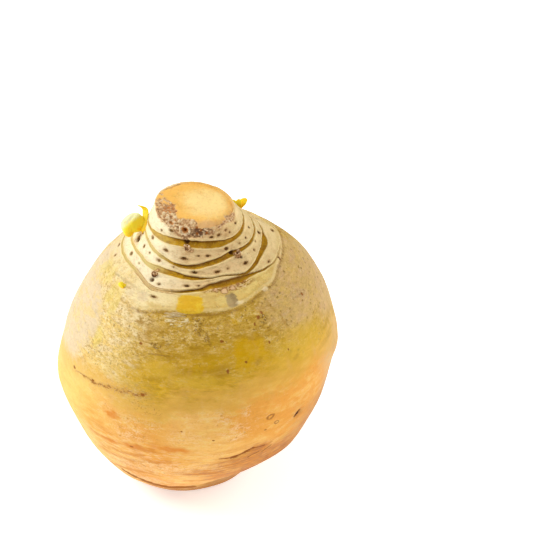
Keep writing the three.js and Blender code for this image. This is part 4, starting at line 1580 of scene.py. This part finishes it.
# The fleshy leaves of each small sprout in mm from its foot: path, half widths along it, how flat it is
# and the way its width lies.
sproutLimbs = {
    "left_sprout_tip": [
        {
            "path": [(0.7, -8, -1), (0.3, -5.6, 1), (0.8, -2.4, 3.2), (0.6, 0.2, 5.8), (-2.4, 0.4, 7.7)],
            "widths": [1.0, 1.2, 1.3, 1.3, 0.2], "flat": 0.42, "side": (0.9, -0.4, 0.1),
        },
    ],
    "right_sprout": [
        {
            "path": [(-0.3, 0, -0.8), (0.6, 0.1, 1.2), (2.0, 0.3, 2.8), (3.3, 0.2, 4.0)],
            "widths": [0.9, 1.5, 1.5, 0.6], "flat": 0.5, "side": (0.8, -0.5, -0.4),
        },
        {
            "path": [(-0.8, 0, -0.8), (-1.3, -0.2, 1.2), (-2.2, -0.2, 2.8), (-3.0, -0.2, 3.8)],
            "widths": [0.9, 1.4, 1.4, 0.5], "flat": 0.5, "side": (0.8, -0.5, 0.4),
        },
        {
            "path": [(-0.5, -0.5, -0.8), (-0.3, -0.9, 1.5), (-0.1, -1.0, 3.2), (0.1, -0.9, 4.6)],
            "widths": [0.9, 1.5, 1.5, 0.5], "flat": 0.5, "side": (1, 0, 0),
        },
    ],
    "shoulder_bud": [
        {
            "path": [(0.5, 0.3, -0.6), (0, 0, 0.8), (-0.5, -0.2, 2.0), (-0.8, -0.3, 2.7)],
            "widths": [0.9, 1.25, 1.1, 0.3], "flat": 0.8, "side": (0.8, -0.6, 0),
        },
        {
            "path": [(0.8, 0.2, -0.6), (1.0, 0, 0.6), (0.9, -0.2, 1.4), (0.8, -0.3, 1.8)],
            "widths": [0.7, 0.9, 0.7, 0.15], "flat": 0.8, "side": (0.8, -0.6, 0),
        },
    ],
}
sproutNames = {
    "left_sprout_tip": "leftSproutTip",
    "right_sprout": "rightSprout",
    "shoulder_bud": "shoulderBud",
}


def buildSprouts():
    material = sproutMaterial()
    middle = boxMiddle("left_sprout_leaf") + Vector(sproutLook["hoodShift"]) * mm
    claimNode(hoodLeaf(middle, material), "left_sprout_leaf")
    for node, name in sproutNames.items():
        piece = standLimbs(name, sproutLimbs[node], boxFoot(node), material)
        claimNode(piece, node)


dryLook = {
    "husk": tint(196, 148, 96),
    "huskPale": tint(236, 208, 168),
    "huskDark": tint(104, 66, 36),
    "scales": 7,
    "widths": [0.5, 0.62, 0.5, 0.16],  # of each scale in mm from its foot to its tip
}


def dryMaterial():
    look = dryLook
    graph = Graph("dryBudShader")
    grain = graph.noise(graph.place(), 1100.0, 4.0, 0.65)
    tip = graph.attribute("tip")
    colour = graph.mix(graph.step(grain + (tip - 0.5) * 0.4, 0.38, 0.66), look["huskDark"], look["husk"])
    colour = graph.mix(graph.step(grain + (tip - 0.5) * 0.5, 0.6, 0.8), colour, look["huskPale"])
    normal = graph.bump(grain, 0.7, 0.0004)
    return graph.surface(colour, graph.step(grain, 0.3, 0.7, 0.7, 0.9), normal, {"Specular IOR Level": 0.2})


def dryBud(name, node, seed, material):
    # a withered bud: small overlapping scales round a core
    low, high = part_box(node)
    size = (high - low) * 500  # half the box, in mm
    picker = random.Random(seed)
    limbs = []
    for i in range(dryLook["scales"]):
        turn = 2 * math.pi * i / dryLook["scales"] + picker.uniform(-0.3, 0.3)
        reach = picker.uniform(0.35, 0.8)
        x, y = math.cos(turn) * size.x * reach, math.sin(turn) * size.y * reach
        tall = size.z * picker.uniform(0.9, 1.7)
        limbs.append({
            "path": [
                (x * 0.3, y * 0.3, -0.8), (x * 0.8, y * 0.8, tall * 0.3), (x, y, tall * 0.8),
                (x * 0.9, y * 0.9, tall),
            ],
            "widths": dryLook["widths"], "flat": 0.6, "side": (-math.sin(turn), math.cos(turn), 0),
            "ripple": 0.12, "segments": 12, "rings": 14,
        })
    claimNode(standLimbs(name, limbs, boxFoot(node), material), node)


def buildDryBuds():
    material = dryMaterial()
    dryBud("frontDryBud", "front_dry_bud", 3, material)
    dryBud("rightDryBud", "right_dry_bud", 5, material)
    dryBud("leftDryBud", "left_dry_bud", 8, material)


def claimNode(piece, node):
    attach(piece, "root")
    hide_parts(node)


stageLook = {
    "floorSize": 4.0,
    "floorWhite": 0.9,
    "floorGlow": 0.5,
    "skyStrength": 0.5,
    "keyPower": 7.8,
    "sidePower": 4.2,
    "pitch": 35.0,
    "lens": 100.0,
    "place": (0.0355, -0.511, 0.4585),
}


def buildFloor():
    look = stageLook
    bm = bmesh.new()
    bmesh.ops.create_grid(bm, x_segments=1, y_segments=1, size=look["floorSize"] / 2)
    graph = Graph("floorWhite")
    cloud = graph.noise(graph.place(), 3.0, 2.0)
    tone = graph.step(cloud, 0.3, 0.7, look["floorWhite"] - 0.01, look["floorWhite"])
    white = graph.make("ShaderNodeCombineColor", {}, {0: tone, 1: tone, 2: tone})
    glow = {"Emission Color": (1.0, 1.0, 1.0, 1.0), "Emission Strength": look["floorGlow"]}
    floor = finishMesh(bm, "floor", graph.surface(white, 0.9, None, glow))
    floor.location.z = -0.0001


def addSoftLight(name, place, size, power, colour):
    data = bpy.data.lights.new(name, "AREA")
    data.shape = "DISK"
    data.size = size
    data.energy = power
    data.color = colour
    light = bpy.data.objects.new(name, data)
    light.location = place
    light.rotation_euler = (Vector((0, 0, 0.06)) - Vector(place)).to_track_quat("-Z", "Y").to_euler()
    bpy.context.scene.collection.objects.link(light)


def buildStage():
    look = stageLook
    buildFloor()
    world = bpy.data.worlds.new("studio")
    world.use_nodes = True
    background = world.node_tree.nodes["Background"]
    background.inputs["Color"].default_value = (1.0, 1.0, 1.0, 1.0)
    background.inputs["Strength"].default_value = look["skyStrength"]
    bpy.context.scene.world = world
    addSoftLight("key", (-0.8, 0.05, 0.75), 0.6, look["keyPower"], (1.0, 1.0, 1.0))
    addSoftLight("side", (0.8, 0.1, 0.6), 0.6, look["sidePower"], (1.0, 1.0, 1.0))
    data = bpy.data.cameras.new("camera")
    data.lens = look["lens"]
    data.sensor_width = 36.0
    camera = bpy.data.objects.new("camera", data)
    camera.location = look["place"]
    camera.rotation_euler = (math.radians(90 - look["pitch"]), 0, 0)
    bpy.context.scene.collection.objects.link(camera)
    bpy.context.scene.camera = camera
    bpy.context.scene.view_settings.view_transform = "Standard"


claimNode(buildRoot(rootMaterial()), "root")
print("root built")

buildSprouts()
buildDryBuds()
print("sprouts and buds built")

buildStage()
print("stage built")
